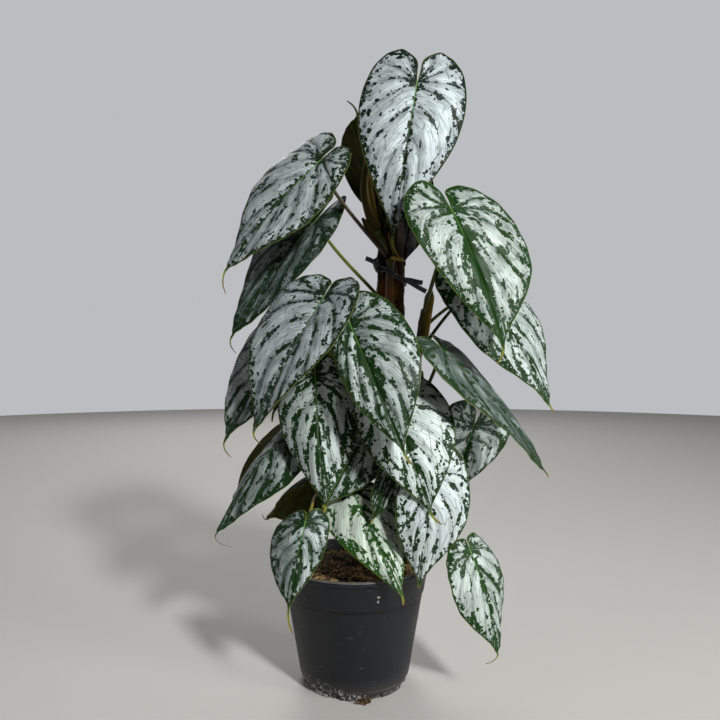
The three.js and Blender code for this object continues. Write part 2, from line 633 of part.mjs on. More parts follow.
const model = new THREE.Group();
model.add(makePot());
model.add(makeMix(holes));
model.add(makePole());
model.add(makeTie());
VINES.forEach((vine) => model.add(makeVine(vine)));
LEAVES.forEach((leaf) => model.add(meshOf(bladeSolid(leaf), leaf.name, finish(COLOURS.blade, 0.4))));

export default model;
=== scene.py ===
# %% [markdown]
# A potted silver leaf philodendron.
# A climbing house plant with drooping heart-shaped leaves, silver with green marks, tied to a coir
# pole in a black nursery pot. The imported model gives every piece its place. This script gives each one
# a finer mesh and a finish, working in millimetres and writing metres.

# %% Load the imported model
import math

import bpy
import numpy as np
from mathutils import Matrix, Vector, noise


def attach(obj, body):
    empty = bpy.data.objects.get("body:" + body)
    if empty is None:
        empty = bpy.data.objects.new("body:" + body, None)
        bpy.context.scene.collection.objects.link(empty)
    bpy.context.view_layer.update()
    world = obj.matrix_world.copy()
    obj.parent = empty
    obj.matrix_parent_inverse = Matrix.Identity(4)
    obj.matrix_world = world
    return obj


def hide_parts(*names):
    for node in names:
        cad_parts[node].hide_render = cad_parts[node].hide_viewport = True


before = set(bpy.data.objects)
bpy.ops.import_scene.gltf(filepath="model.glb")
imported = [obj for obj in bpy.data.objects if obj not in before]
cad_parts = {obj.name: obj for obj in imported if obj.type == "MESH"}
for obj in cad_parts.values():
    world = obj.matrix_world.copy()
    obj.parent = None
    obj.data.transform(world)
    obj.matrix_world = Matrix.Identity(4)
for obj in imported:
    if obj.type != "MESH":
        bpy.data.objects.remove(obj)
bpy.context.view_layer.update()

MM = 0.001
SEED = 28
random = np.random.default_rng(SEED)
print("nodes in the model:", len(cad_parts))

# %% [markdown]
# Colours and nodes.
# Colours are written as sRGB hex, as a paint chart gives them, and the shader wants linear light, so one
# function turns them. A second small function adds a node to a material. It takes the node's type, alone
# or with settings, and then its inputs, in the order of the sockets that the node shows or by their
# names. An input may be a number, a hex colour, a socket, or another node, whose first output counts.

# %% Helpers for materials
def linear(hex_colour):
    value = int(hex_colour.lstrip("#"), 16)
    shares = [(value >> shift & 255) / 255 for shift in (16, 8, 0)]
    return [s / 12.92 if s <= 0.04045 else ((s + 0.055) / 1.055) ** 2.4 for s in shares] + [1.0]


def fill(tree, socket, value):
    """Give a socket its value, or link it to another node."""
    if isinstance(value, bpy.types.Node):
        value = next(output for output in value.outputs if output.enabled)
    if isinstance(value, bpy.types.NodeSocket):
        tree.links.new(value, socket)
    else:
        socket.default_value = linear(value) if isinstance(value, str) else value


def add(tree, kind, *inputs, **named_inputs):
    """Add a node of a kind with its inputs, in the order of its sockets or by their names."""
    node_type, settings = kind if isinstance(kind, tuple) else (kind, {})
    made = tree.nodes.new("ShaderNode" + node_type)
    for key, value in settings.items():
        setattr(made, key, value)
    shown = [socket for socket in made.inputs if socket.enabled]
    for socket, value in zip(shown, inputs):
        fill(tree, socket, value)
    for key, value in named_inputs.items():
        fill(tree, made.inputs[key], value)
    return made


def new_material(name):
    material = bpy.data.materials.new(name)
    material.use_nodes = True
    return material, material.node_tree


def set_shader(material, **inputs):
    """Fill sockets of the material's own shader. A low line in a socket's name stands for a space."""
    shader = material.node_tree.nodes["Principled BSDF"]
    for key, value in inputs.items():
        fill(material.node_tree, shader.inputs[key.replace("_", " ")], value)
    return material


PLUS = ("Math", {"operation": "ADD"})
MINUS = ("Math", {"operation": "SUBTRACT"})
TIMES = ("Math", {"operation": "MULTIPLY"})
TIMES_PLUS = ("Math", {"operation": "MULTIPLY_ADD"})
LARGER = ("Math", {"operation": "MAXIMUM"})
SMALLER = ("Math", {"operation": "MINIMUM"})
BELOW = ("Math", {"operation": "LESS_THAN"})
NEAR = ("Math", {"operation": "COMPARE"})
NO_SIGN = ("Math", {"operation": "ABSOLUTE"})
STRETCH = ("VectorMath", {"operation": "MULTIPLY"})
STRETCH_PLUS = ("VectorMath", {"operation": "MULTIPLY_ADD"})
LENGTH = ("VectorMath", {"operation": "LENGTH"})
DISTANCE = ("VectorMath", {"operation": "DISTANCE"})
COLOUR_MIX = ("Mix", {"data_type": "RGBA"})
print("white as linear light:", linear("#ffffff"))

# %% [markdown]
# Meshes.
# Every piece ends as a plain mesh, so one function takes points in millimetres and faces, adds the
# values that its material reads at each point, and tells the frame what the piece is: the body that it
# rides on, the finish slot, and the plain solids that it stands for.

# %% Helper for pieces
def make_piece(name, points, faces, materials, replaces, values=None, kinds=None, sharp=50):
    """A piece from points in mm: its finishes, values of its points, slot and the node it replaces."""
    mesh = bpy.data.meshes.new(name)
    mesh.from_pydata((np.asarray(points) * MM).tolist(), [], [list(map(int, face)) for face in faces])
    mesh.polygons.foreach_set("use_smooth", [True] * len(mesh.polygons))
    for material in materials:
        mesh.materials.append(material)
    if kinds is not None:
        mesh.polygons.foreach_set("material_index", np.asarray(kinds, int))
    for key, value in (values or {}).items():
        layer = mesh.attributes.new(key, "FLOAT_VECTOR", "POINT")
        layer.data.foreach_set("vector", np.asarray(value, np.float32).ravel())
    mesh.set_sharp_from_angle(angle=math.radians(sharp))
    mesh.update()
    made = bpy.data.objects.new(name, mesh)
    bpy.context.scene.collection.objects.link(made)
    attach(made, "root")
    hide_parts(*replaces)
    return made


def unit(vector):
    return vector / np.linalg.norm(vector)


def four_round(points, places, last):
    """The four points round each place on a row of points, and its share of the way past the second."""
    index = np.minimum(places.astype(int), last - 1)
    return [points[index + k] for k in range(4)], (places - index)[:, None]


print("length of a unit vector:", np.linalg.norm(unit(np.array([3.0, 4.0, 12.0]))))

# %% [markdown]
# Camera.
# The photo was taken level, from about the middle of the plant, half a metre away. The place comes from
# the pot's rim and base ellipses, and the lens from the same fit.

# %% Camera
CAMERA_PLACE = (4.3, -534.5, 259.6)
PICTURE = 720
FOCAL_PIXELS = 649
SENSOR = 36

camera_data = bpy.data.cameras.new("camera")
camera_data.sensor_width = SENSOR
camera_data.lens = SENSOR * FOCAL_PIXELS / PICTURE
camera = bpy.data.objects.new("camera", camera_data)
camera.location = Vector(CAMERA_PLACE) * MM
camera.rotation_euler = (math.radians(90), 0, 0)
bpy.context.scene.collection.objects.link(camera)
bpy.context.scene.camera = camera
print("lens:", round(camera_data.lens, 2), "mm")

# %% [markdown]
# Light and floor.
# The key light stands high in front, right of the camera, as in the photo: the right halves of the
# leaves are bright and the pot's shadow falls to the left. It is rather small, so the leaves throw clear
# shadows on each other. A weak lamp on the left and a low one on the right keep the shade and the pot
# readable, and a wide one behind lights the floor there. Key and low lamp have a limited spread, like
# lamps with a grid, so they leave no bright spot on the floor beneath them. The surround lights the
# plant as a studio with one pale wall does, strong from behind and weak from the camera's side, and the
# camera sees it as the same plain pale backdrop all round.

# %% Light and floor
BACKDROP = "#bbbdc1"
DARK_SIDE = "#16171a"
FLOOR_RADIUS = 3.0
FLOOR_SIDES = 96


def area_light(name, place, target, size, watts, spread=180):
    """A round lamp at a place in metres that shines at a target; spread is its full angle."""
    data = bpy.data.lights.new(name, "AREA")
    data.spread = math.radians(spread)
    data.shape = "DISK"
    data.size = size
    data.energy = watts
    lamp = bpy.data.objects.new(name, data)
    lamp.location = Vector(place)
    lamp.rotation_euler = (Vector(target) - Vector(place)).to_track_quat("-Z", "Y").to_euler()
    bpy.context.scene.collection.objects.link(lamp)


area_light("key", (1.05, -1.72, 1.42), (0.02, 0, 0.25), 0.3, 17.2, 100)
area_light("side", (-1.2, -0.7, 1.25), (0, 0, 0.27), 0.5, 2.2)
area_light("low", (1.5, -0.75, 0.5), (0.02, 0, 0.06), 0.5, 3.5, 100)
area_light("back", (-0.3, 2.1, 1.7), (0, 0.3, 0.15), 1.2, 24)

world = bpy.data.worlds.new("surround")
world.use_nodes = True
sky = world.node_tree
depth = add(sky, "SeparateXYZ", add(sky, "TexCoord").outputs["Generated"]).outputs["Y"]
far = add(sky, ("MapRange", {"interpolation_type": "SMOOTHSTEP"}), depth, -0.1, 0.75, 0, 1)
surround = add(sky, COLOUR_MIX, far, DARK_SIDE, BACKDROP)
seen = add(sky, COLOUR_MIX, add(sky, "LightPath").outputs["Is Camera Ray"], surround, BACKDROP)
fill(sky, sky.nodes["Background"].inputs["Color"], seen)
bpy.context.scene.world = world
bpy.context.scene.view_settings.view_transform = "Standard"

floor_turn = [2 * math.pi * k / FLOOR_SIDES for k in range(FLOOR_SIDES)]
floor_mesh = bpy.data.meshes.new("floor")
floor_mesh.from_pydata([(FLOOR_RADIUS * math.cos(a), FLOOR_RADIUS * math.sin(a), 0) for a in floor_turn],
                       [], [list(range(FLOOR_SIDES))])
floor_mesh.materials.append(set_shader(new_material("pale_floor")[0], Base_Color="#b9b6b1", Roughness=0.75))
floor = bpy.data.objects.new("floor", floor_mesh)
bpy.context.scene.collection.objects.link(floor)
print("floor:", FLOOR_RADIUS, "m")

# %% [markdown]
# The form of a blade.
# A leaf could be cut from a flat sheet and bent, but then its mesh would run across its veins. Here a
# blade is an arc, the midrib, with two halves laid along it. Rows run round the outline from the notch
# at the petiole to the tip, and each row follows a side vein from the midrib out to the margin. So the
# grid of the mesh is also the grid of the veins, and the marks can follow it.

# %% The rows of leaves
# In mm: base is where the petiole meets the blade; tip, left and right, the widest places, are measured
# from it, and drip from the tip. lobe is the length of the lobes behind the base, as a share of the
# usual, and bend the turn of the midrib in degrees. The petiole grows from a vine at the height node,
# sets out by lead, and comes in from turn where the usual hook doesn't suit. look is the half width of
# the green band along the midrib and along a side vein and the width of the green hem, in mm, then how
# many green patches, how silver and how fresh the green is, mostly from 0 to 1. petiole is how green
# and how golden it is, and how much wider than usual at its foot.
LEAVES = [
    dict(name="leaf_01_crown", base=(48, -38, 472), tip=(-19, -6, -117), drip=(6, -6, -20), lobe=0.88,
         left=(-44, 2, -15), right=(37, 2, -22), vine="vine_main", node=364, lead=(-34, 4, 60),
         look=(2.0, 0.2, 2.7, 0.05, 0.75, 0.05), petiole=(0.15, 0.45, 2.3)),
    dict(name="leaf_02_right_high", base=(71, -58, 371), tip=(35, -14, -101), drip=(-4, 0, -13), lobe=0.84,
         left=(-29, -12, -20), right=(57, 11, -21), vine="vine_right", node=290, lead=(8, -16, 36),
         look=(7.2, 1.5, 3.9, 0.42, 0.6, 0.5), petiole=(1.0, 0.1, 1.2)),
    dict(name="leaf_03_right_under", base=(92, -25, 324), tip=(56, -15, -98), drip=(4, -2, -6), lobe=0.75,
         left=(-17, -20, -33), right=(51, 25, -20), vine="vine_right", node=280, lead=(10, 2, 20),
         look=(2.8, 1.7, 3.2, 0.52, 0.75, 0.4), petiole=(0.8, 0.1, 1.0)),
    # Its low silver darkens this leaf as painted shade.
    dict(name="leaf_04_right_narrow", base=(65, -45, 269), tip=(77, -10, -93), drip=(1, -2, -3), lobe=0.5,
         left=(-3, -32, -20), right=(29, 36, -13), bend=16, vine="vine_right", node=205, lead=(6, -8, 30),
         look=(2.2, 1.3, 2.9, 0.45, -0.15, 0.35)),
    dict(name="leaf_05_left_high", base=(-26, -25, 417), tip=(-72, -10, -87), drip=(0, -5, -20), lobe=0.85,
         left=(-40, 23, 3), right=(1, -25, -44), bend=16, vine="vine_main", node=340, lead=(-14, -2, 16),
         look=(2.8, 0.5, 2.8, 0.4, 0.55, 0.15), petiole=(0.05, 0.0, 1.1)),
    # Its low silver darkens this leaf as painted shade.
    dict(name="leaf_06_left_shaded", base=(-30, -2, 376), tip=(-69, -10, -98), drip=(4, -2, -13), bend=16,
         left=(-41, 16, -5), right=(-4, -24, -40), vine="vine_main", node=300, lead=(-8, -2, 14),
         look=(3.6, 1.8, 3.2, 0.62, -0.1, 0.12), petiole=(1.0, 0.25, 1.0)),
    dict(name="leaf_07_left_edge", base=(-44, -35, 287), tip=(-53, -13, -88), drip=(5, -2, -12),
         left=(-42, 15, -13), right=(1, -13, -34), vine="vine_main", node=230, lead=(-14, -6, 30),
         look=(2.2, 1.4, 2.2, 0.5, 0.4, 0.2)),
    dict(name="leaf_08_front_left", base=(-21, -62, 307), tip=(-48, -22, -96), drip=(5, -4, -9), lobe=0.62,
         left=(-46, 14, -11), right=(17, -26, -20), bend=16, vine="vine_main", node=262, lead=(-8, -7, 70),
         look=(2.0, 0.9, 2.4, 0.3, 0.5, 0.1)),
    dict(name="leaf_09_front_middle", base=(-3, -58, 286), tip=(37, -30, -89), drip=(6, -4, -9),
         left=(-7, -16, -37), right=(46, -8, -7), vine="vine_main", node=240, lead=(-2, -16, 24),
         look=(3.8, 1.5, 3.0, 0.55, 0.5, 0.3)),
    dict(name="leaf_10_front_inner", base=(-30, -38, 248), tip=(9, -20, -95), drip=(-1, -2, -5), lobe=0.8,
         left=(-29, 10, -29), right=(33, 2, -28), vine="vine_low", node=170, lead=(-4, -2, 36),
         look=(2.8, 1.8, 2.2, 0.65, 1.1, 0.35)),
    dict(name="leaf_11_front_right", base=(25, -50, 233), tip=(29, -22, -81), drip=(8, -6, -8),
         left=(-21, -10, -27), right=(47, -2, -12), vine="vine_main", node=206, lead=(2, -12, 24),
         look=(2.4, 1.6, 2.2, 0.25, 1.2, 0.35)),
    dict(name="leaf_12_low_left", base=(-57, -15, 200), tip=(-52, -7, -77), drip=(14, -8, -9), lobe=0.8,
         left=(-27, 31, -28), right=(14, -21, -26), bend=16, vine="vine_low", node=160, lead=(-14, -4, 34),
         look=(2.8, 1.9, 2.8, 0.58, 0.3, 0.3)),
    dict(name="leaf_13_low_left_turned", base=(-22, 6, 171), tip=(-53, 10, -46), drip=(-4, 2, 4), lobe=0.5,
         left=(-9, 30, -44), right=(-27, -20, -15), vine="vine_low", node=126, lead=(-6, -8, 20)),
    dict(name="leaf_14_front_small", base=(-35, -66, 143), tip=(-11, -12, -58), drip=(3, -2, -17), lobe=0.65,
         left=(-26, 8, -18), right=(16, 2, -14), vine="vine_low", node=140, lead=(-42, -8, 22),
         turn=(8, 12, 14), look=(1.6, 1.0, 2.4, 0.4, 0.4, 0.25), petiole=(0.6, 0.7, 1.0)),
    dict(name="leaf_15_low_middle", base=(-2, -34, 159), tip=(36, -38, -67), drip=(1, -3, -6), lobe=0.55,
         left=(-22, -8, -20), right=(34, -4, -12), vine="vine_low", node=134, lead=(2, -8, 20),
         look=(2.8, 1.2, 2.0, 0.4, 1.1, 0.9)),
    dict(name="leaf_16_low_right", base=(56, -60, 179), tip=(-9, -6, -81), drip=(1, 6, -5),
         left=(-26, -6, -24), right=(30, 6, -22), vine="vine_main", node=136, lead=(6, -16, 24),
         look=(1.2, 0.3, 2.0, -0.3, 1.5, 0.25)),
    dict(name="leaf_17_hanging_right", base=(87, -45, 117), tip=(20, -5, -76), drip=(-10, -5, -6), lobe=0.6,
         left=(-16, -13, -27), right=(25, 17, -17), vine="vine_right", node=104, lead=(14, -10, 22),
         look=(2.4, 1.1, 2.4, 0.35, 0.85, 0.5)),
    dict(name="leaf_18_right_middle", base=(100, 8, 206), tip=(-25, -8, -57), drip=(-3, -2, -5),
         left=(-33, -14, 1), right=(31, 16, -14), vine="vine_right", node=150, lead=(16, 2, 26),
         look=(2.9, 1.9, 3.0, 0.6, 0.6, 0.35)),
    dict(name="leaf_19_upright_back", base=(13, 6, 401), tip=(-11, 12, 68), drip=(-9, 2, 12),
         left=(-25, 22, 33), right=(23, 0, 33), vine="vine_main", node=362, lead=(-2, 6, 14),
         petiole=(0.1, 0.2, 1.2)),
    # Its silver and fresh of nought paint this leaf dark as painted shade, its under side near black.
    dict(name="leaf_20_crown_back", base=(54, 6, 405), tip=(-12, 2, -62), drip=(0, 0, -5),
         left=(11, 12, -24), right=(-20, 10, -19), vine="vine_main", node=356, lead=(6, 0, 40),
         look=(2.2, 1.1, 2.2, 0.3, 0.0, 0.0)),
    dict(name="leaf_21_back_right", base=(112, 30, 345), tip=(33, 34, -58), drip=(2, 2, -9),
         left=(33, 6, -11), right=(-21, 10, -19), vine="vine_right", node=260, lead=(12, 12, 30)),
    dict(name="leaf_22_back_left", base=(-41, 20, 296), tip=(-30, 14, -81), drip=(-2, 2, -10),
         left=(26, 18, -26), right=(-36, 12, -24), vine="vine_main", node=252, lead=(-12, 8, 22)),
    dict(name="leaf_23_inner_shade", base=(15, -30, 207), tip=(-37, -20, -55), drip=(-2, 0, -3),
         left=(-30, 12, -14), right=(5, -10, -32), vine="vine_main", node=172, lead=(-2, -6, 20)),
    dict(name="leaf_24_inner_narrow", base=(37, -36, 201), tip=(-23, -22, -58), drip=(-2, -1, -3),
         left=(-20, -16, -27), right=(-1, -14, -33), vine="vine_main", node=158, lead=(4, -10, 18)),
    dict(name="leaf_25_low_left_back", base=(-59, 22, 198), tip=(-44, 8, -53), drip=(-3, -2, -5),
         left=(0, 30, -38), right=(-29, 22, -15), vine="vine_low", node=160, lead=(-10, 10, 22)),
    dict(name="leaf_26_back_middle", base=(22, 46, 262), tip=(8, 32, -90), drip=(2, 4, -10),
         left=(34, 6, -24), right=(-36, 8, -22), vine="vine_right", node=196, lead=(-4, 14, 20)),
    dict(name="leaf_27_back_low_right", base=(58, 42, 190), tip=(10, 34, -74), drip=(2, 4, -9),
         left=(32, 4, -20), right=(-32, 8, -20), vine="vine_right", node=126, lead=(2, 14, 20)),
    dict(name="leaf_28_back_low", base=(-10, 44, 200), tip=(-8, 30, -76), drip=(-2, 4, -9),
         left=(34, 6, -22), right=(-32, 8, -20), vine="vine_low", node=140, lead=(-2, 14, 20)),
]
USUAL_LOOK = (2.2, 1.1, 2.2, 0.55, 0.65, 0.3)
for leaf in LEAVES:
    for key in ("base", "tip", "drip", "left", "right"):
        leaf[key] = np.array(leaf[key], float)
print("leaves:", len(LEAVES))

# %% [markdown]
# The outline is given by twelve points, enough for its lobe, its shoulder and its drawn-out tip, and a
# smooth curve is laid through them. The midrib is an arc of a circle, because a drooping blade bends
# evenly. Each half gets its width, fold and shear from the widest place that its row gives.

# %% The smooth outline
OUTLINE = np.array([
    (-0.15, 0.035), (-0.275, 0.3), (-0.26, 0.56), (-0.165, 0.82), (0.0, 0.97), (0.18, 1.0),
    (0.38, 0.9), (0.58, 0.66), (0.755, 0.39), (0.885, 0.175), (0.965, 0.06), (1.0, 0.03),
])
LOBE_TURN = np.array([0.13, 0.22])


def outline_at(shares):
    """Points on the smooth curve through the outline, for shares from 0 at the notch to 1 at the tip."""
    last = len(OUTLINE) - 1
    ends = np.vstack([LOBE_TURN, OUTLINE, 2 * OUTLINE[-1] - OUTLINE[-2]])
    (a, b, c, d), u = four_round(ends, np.clip(shares, 0, 1) * last, last)
    curve = 2 * b + (c - a) * u + (2 * a - 5 * b + 4 * c - d) * u ** 2
    return 0.5 * (curve + (3 * b - a - 3 * c + d) * u ** 3)


print("half way along the outline:", outline_at(np.array([0.5])).round(3))

# %% The arc of the midrib and the two halves
WIDEST_ALONG = 0.14
FAN_SHARE = 0.4
RIB_POWER = 1.35
LOBE_LIFT = 0.35
BEND = 25


def rib_start(shares):
    """Where on the midrib the side vein that ends at this share of the outline starts."""
    return np.clip((shares - FAN_SHARE) / (1 - FAN_SHARE), 0, None) ** RIB_POWER


def blade_form(leaf):
    """The frame of a blade: its midrib arc, which bulges to the upper side, and its two halves."""
    base, chord = leaf["base"], leaf["tip"]
    length = np.linalg.norm(chord)
    along = chord / length
    face = unit(np.cross(along, leaf["right"] - leaf["left"]))
    across = unit(np.cross(face, along))
    bend = math.radians(leaf.get("bend", BEND))
    radius = length / (2 * math.sin(bend / 2))

    def rib(share):
        share = np.asarray(share, float)[..., None]
        turn = np.where(share > 0, bend * (0.5 - share), 0.5 * bend * (1 + share / LOBE_LIFT))
        lean = (turn + 0.5 * bend) / 2
        behind = np.minimum(share, 0) * radius * bend
        arc = np.where(share > 0, turn, 0.5 * bend)
        forward = radius * (math.sin(bend / 2) - np.sin(arc)) + behind * np.cos(lean)
        rise = radius * (np.cos(arc) - math.cos(bend / 2)) + behind * np.sin(lean)
        return base + along * forward + face * rise, face * np.cos(turn) - along * np.sin(turn)

    halves = []
    for sign, edge in ((-1, leaf["left"]), (1, leaf["right"])):
        turn = math.atan2(length / 2 - edge @ along, edge @ face + radius * math.cos(bend / 2))
        share = 0.5 - turn / bend
        place, out = rib(share)
        spread = edge + base - place
        halves.append(dict(sign=sign, width=math.hypot(spread @ across, spread @ out),
                           fold=math.atan2(spread @ out, sign * (spread @ across)),
                           shear=share - WIDEST_ALONG))
    return dict(rib=rib, halves=halves, across=across, length=length)


for leaf in LEAVES:
    leaf["form"] = blade_form(leaf)
print("longest blade:", round(max(leaf["form"]["length"] for leaf in LEAVES)), "mm")

# %% [markdown]
# The mesh of a blade.
# One flat grid is worked out once and used for every leaf, because only the places of its points
# differ. The blade is not flat between its side veins: it swells a little there, and the midrib lies in
# a groove above and stands out as a ridge below. That relief is what makes the gloss break up.

# %% The grid that all blades share
ROWS = 90
COLUMNS = 24
DRIP_ROWS = 8
CROWD = 0.6

row_shares = np.linspace(0, 1, ROWS + 1)
even = np.linspace(0, 1, COLUMNS + 1)
column_parts = even - CROWD * np.sin(2 * math.pi * even) / (2 * math.pi)
fan_rows = int(np.sum(rib_start(row_shares) == 0))


def blade_grid():
    """The index of each point: rows by columns, left margin to right margin, the drip rows last."""
    midrib = np.concatenate([np.zeros(fan_rows, int), np.arange(1, ROWS + 2 - fan_rows)])
    count = midrib[-1] + 1
    left = count + np.arange((ROWS + 1) * COLUMNS).reshape(ROWS + 1, COLUMNS)
    right = left + left.size
    drip = right.max() + 1 + np.arange(DRIP_ROWS * (2 * COLUMNS + 1)).reshape(DRIP_ROWS, 2 * COLUMNS + 1)
    rows = np.hstack([left[:, ::-1], midrib[:, None], right])
    return midrib, left, right, drip, np.vstack([rows, drip])


MIDRIB, LEFT, RIGHT, DRIP, GRID = blade_grid()
POINT_COUNT = int(GRID.max()) + 1
print("points of one sheet:", POINT_COUNT)

# %% Faces and margin of the grid
def grid_faces(grid):
    """Faces of a grid that show their front upwards, with corners that coincide left out."""
    faces = []
    for row in range(len(grid) - 1):
        for column in range(grid.shape[1] - 1):
            (a, d), (b, c) = grid[row:row + 2, column:column + 2].tolist()
            corners = [corner for corner, before in ((a, d), (b, a), (c, b), (d, c)) if corner != before]
            if len(corners) > 2:
                faces.append(corners)
    return faces


def open_edges(faces):
    """The edges that only one face has, in that face's direction."""
    found = {}
    for face in faces:
        for start, end in zip(face, face[1:] + face[:1]):
            if (end, start) in found:
                del found[end, start]
            else:
                found[start, end] = True
    return list(found)


def in_order(edges):
    """The starts of the edges in order round the blade."""
    follow = dict(edges)
    order = [edges[0][0]]
    while follow[order[-1]] != order[0]:
        order.append(follow[order[-1]])
    return order


SHEET_FACES = grid_faces(GRID)
RIM = open_edges(SHEET_FACES)
MARGIN = in_order(RIM)
print("faces of one sheet:", len(SHEET_FACES), "points round its margin:", len(MARGIN))

# %% [markdown]
# Relief and values.
# A bump in the material would do for the relief from afar, but real swelling shows in the outline and
# stays in the mesh. The finish needs to know where on the leaf it is, so each point carries
# that in mm: how far along and off the veins, how far from the margin and the midrib.

# %% Side veins
VEINS = 8
VEIN_LEAN = 0.07
LEAN_START = 0.3


def vein_share(share, part):
    """Which side vein passes a place: the veins lean forward on their way out, but not in the lobes."""
    return share - VEIN_LEAN * np.minimum(1, share / LEAN_START) * part ** 1.5


def vein_spacing(points, vein):
    """The distance in mm between neighbouring side veins at each point of a grid."""
    across_rows, along_rows = np.gradient(points, axis=0), np.gradient(points, axis=1)
    row_change, column_change = np.gradient(vein, axis=0), np.gradient(vein, axis=1)
    row_size, column_size = (across_rows ** 2).sum(2), (along_rows ** 2).sum(2)
    mixed = (across_rows * along_rows).sum(2)
    area = np.maximum(row_size * column_size - mixed ** 2, 1e-9)
    slope = row_change ** 2 * column_size + column_change ** 2 * row_size
    slope = slope - 2 * row_change * column_change * mixed
    return 1 / (VEINS * np.sqrt(np.maximum(slope / area, 1e-8)))


print("the vein that passes half way along the margin:", round(VEINS * vein_share(0.5, 1.0), 2))

# %% One half of a blade
VEIN_SWEEP = 0.45
VEIN_WOBBLE = 0.012
EDGE_TAPER = 0.25
ARCH = 0.07
ARCH_START = 0.67
WAVE_HEIGHT = 1.5
WAVE_COUNT = 2.6
WAVE_FADE = 0.17
FLUTTER = 0.35
FLUTTER_COUNT = 11
HALF_LAG = 0.37
LEAF_LAG = 0.29
QUILT = 1.1
QUILT_FULL = 9


def half_points(leaf, half, index):
    """The middle sheet of one half: rows by columns, the vein that passes each point, and how far off."""
    form = leaf["form"]
    share, part = row_shares[:, None], column_parts[None, :]
    edge_along, edge_across = outline_at(row_shares).T[:, :, None]
    edge_along = np.where(edge_along < 0, edge_along * leaf.get("lobe", 1), edge_along)
    start = rib_start(share)
    sweep = part - VEIN_SWEEP * part * (1 - part)
    spread = edge_across * part * (1 + EDGE_TAPER * (1 - part))
    place, out = form["rib"](start + (edge_along - start) * sweep + half["shear"] * spread)
    arch = ARCH * half["width"] * 4 * part * (1 - part) * np.minimum(1, edge_across / ARCH_START)
    phase = WAVE_COUNT * share + HALF_LAG * half["sign"] + LEAF_LAG * index
    fade = np.minimum(1, (1 - share) / WAVE_FADE)
    wave = WAVE_HEIGHT * fade * part ** 2 * np.sin(2 * math.pi * phase)
    flutter = FLUTTER * fade * part ** 4 * np.sin(2 * math.pi * (FLUTTER_COUNT * share + LEAF_LAG * index))
    run = half["width"] * spread
    points = place + form["across"] * (half["sign"] * run * math.cos(half["fold"]))[..., None]
    points = points + out * (run * math.sin(half["fold"]) + arch + wave + flutter)[..., None]
    wobble = np.sin(5 * part + 7 * share + 3 * index + half["sign"])
    vein = vein_share(share, part) + VEIN_WOBBLE * wobble
    gap = vein_spacing(points, vein)
    off_vein = np.abs((VEINS * vein) % 1 - 0.5)
    swell = QUILT * np.minimum(1, gap / QUILT_FULL) * np.sin(math.pi * off_vein) ** 1.3
    swell = swell * np.sin(math.pi * part ** 0.8) ** 0.6 * np.minimum(1, 6 * (1 - share))
    return points + out * swell[..., None], vein, off_vein * gap


half = half_points(LEAVES[0], LEAVES[0]["form"]["halves"][0], 0)[0]
print("rows and columns of one half:", half.shape[:2])

# %% The drip tip
DRIP_LEAD = 0.94
DRIP_WIDTH = 0.65
ROLL = 0.5


def drip_points(leaf):
    """The thin rolled end: rows that narrow along a curve from the blade's tip to the drip's end."""
    form = leaf["form"]
    tip = leaf["base"] + leaf["tip"]
    end = tip + leaf["drip"]
    reach = np.linalg.norm(leaf["drip"])
    middle = tip + unit(tip - form["rib"](DRIP_LEAD)[0]) * 0.5 * reach
    out = form["rib"](1.0)[1]
    across = np.concatenate([-column_parts[:0:-1], [0], column_parts[1:]])
    wide = 0.5 * (form["halves"][0]["width"] + form["halves"][1]["width"]) * OUTLINE[-1, 1]
    rows = []
    for row in range(1, DRIP_ROWS + 1):
        t = row / DRIP_ROWS
        centre = (1 - t) ** 2 * tip + 2 * t * (1 - t) * middle + t ** 2 * end
        half_width = (DRIP_WIDTH + (wide - DRIP_WIDTH) * (1 - t) ** 2) * min(1, 0.35 + 3 * (1 - t))
        rows.append(centre + form["across"] * (across * half_width)[:, None]
                    + out * (ROLL * half_width * across ** 2)[:, None])
    return np.array(rows)


print("rows and columns of a drip tip:", drip_points(LEAVES[0]).shape[:2])

# %% The sheet of a blade and the values that its finish reads
RUN_STRETCH = 1.3
LEAF_SHIFT = 40.0
DRIP_OFF_VEIN = 5


def distance_to_line(points, line):
    """The distance of each point to the nearest stretch of a line of points."""
    nearest = np.full(len(points), np.inf)
    for start, end in zip(line[:-1], line[1:]):
        run = end - start
        share = np.clip((points - start) @ run / max(run @ run, 1e-9), 0, 1)
        nearest = np.minimum(nearest, np.linalg.norm(points - start - share[:, None] * run, axis=1))
    return nearest


def sheet_normals(points, faces):
    """The direction of the sheet at each point, from the faces that meet there."""
    normals = np.zeros_like(points)
    for size in (3, 4):
        group = np.array([face for face in faces if len(face) == size])
        first, second, third, last = (points[group[:, k]] for k in (0, 1, 2, -1))
        normal = np.cross(third - first, last - second)
        for corner in range(size):
            np.add.at(normals, group[:, corner], normal)
    return normals / np.linalg.norm(normals, axis=1)[:, None]


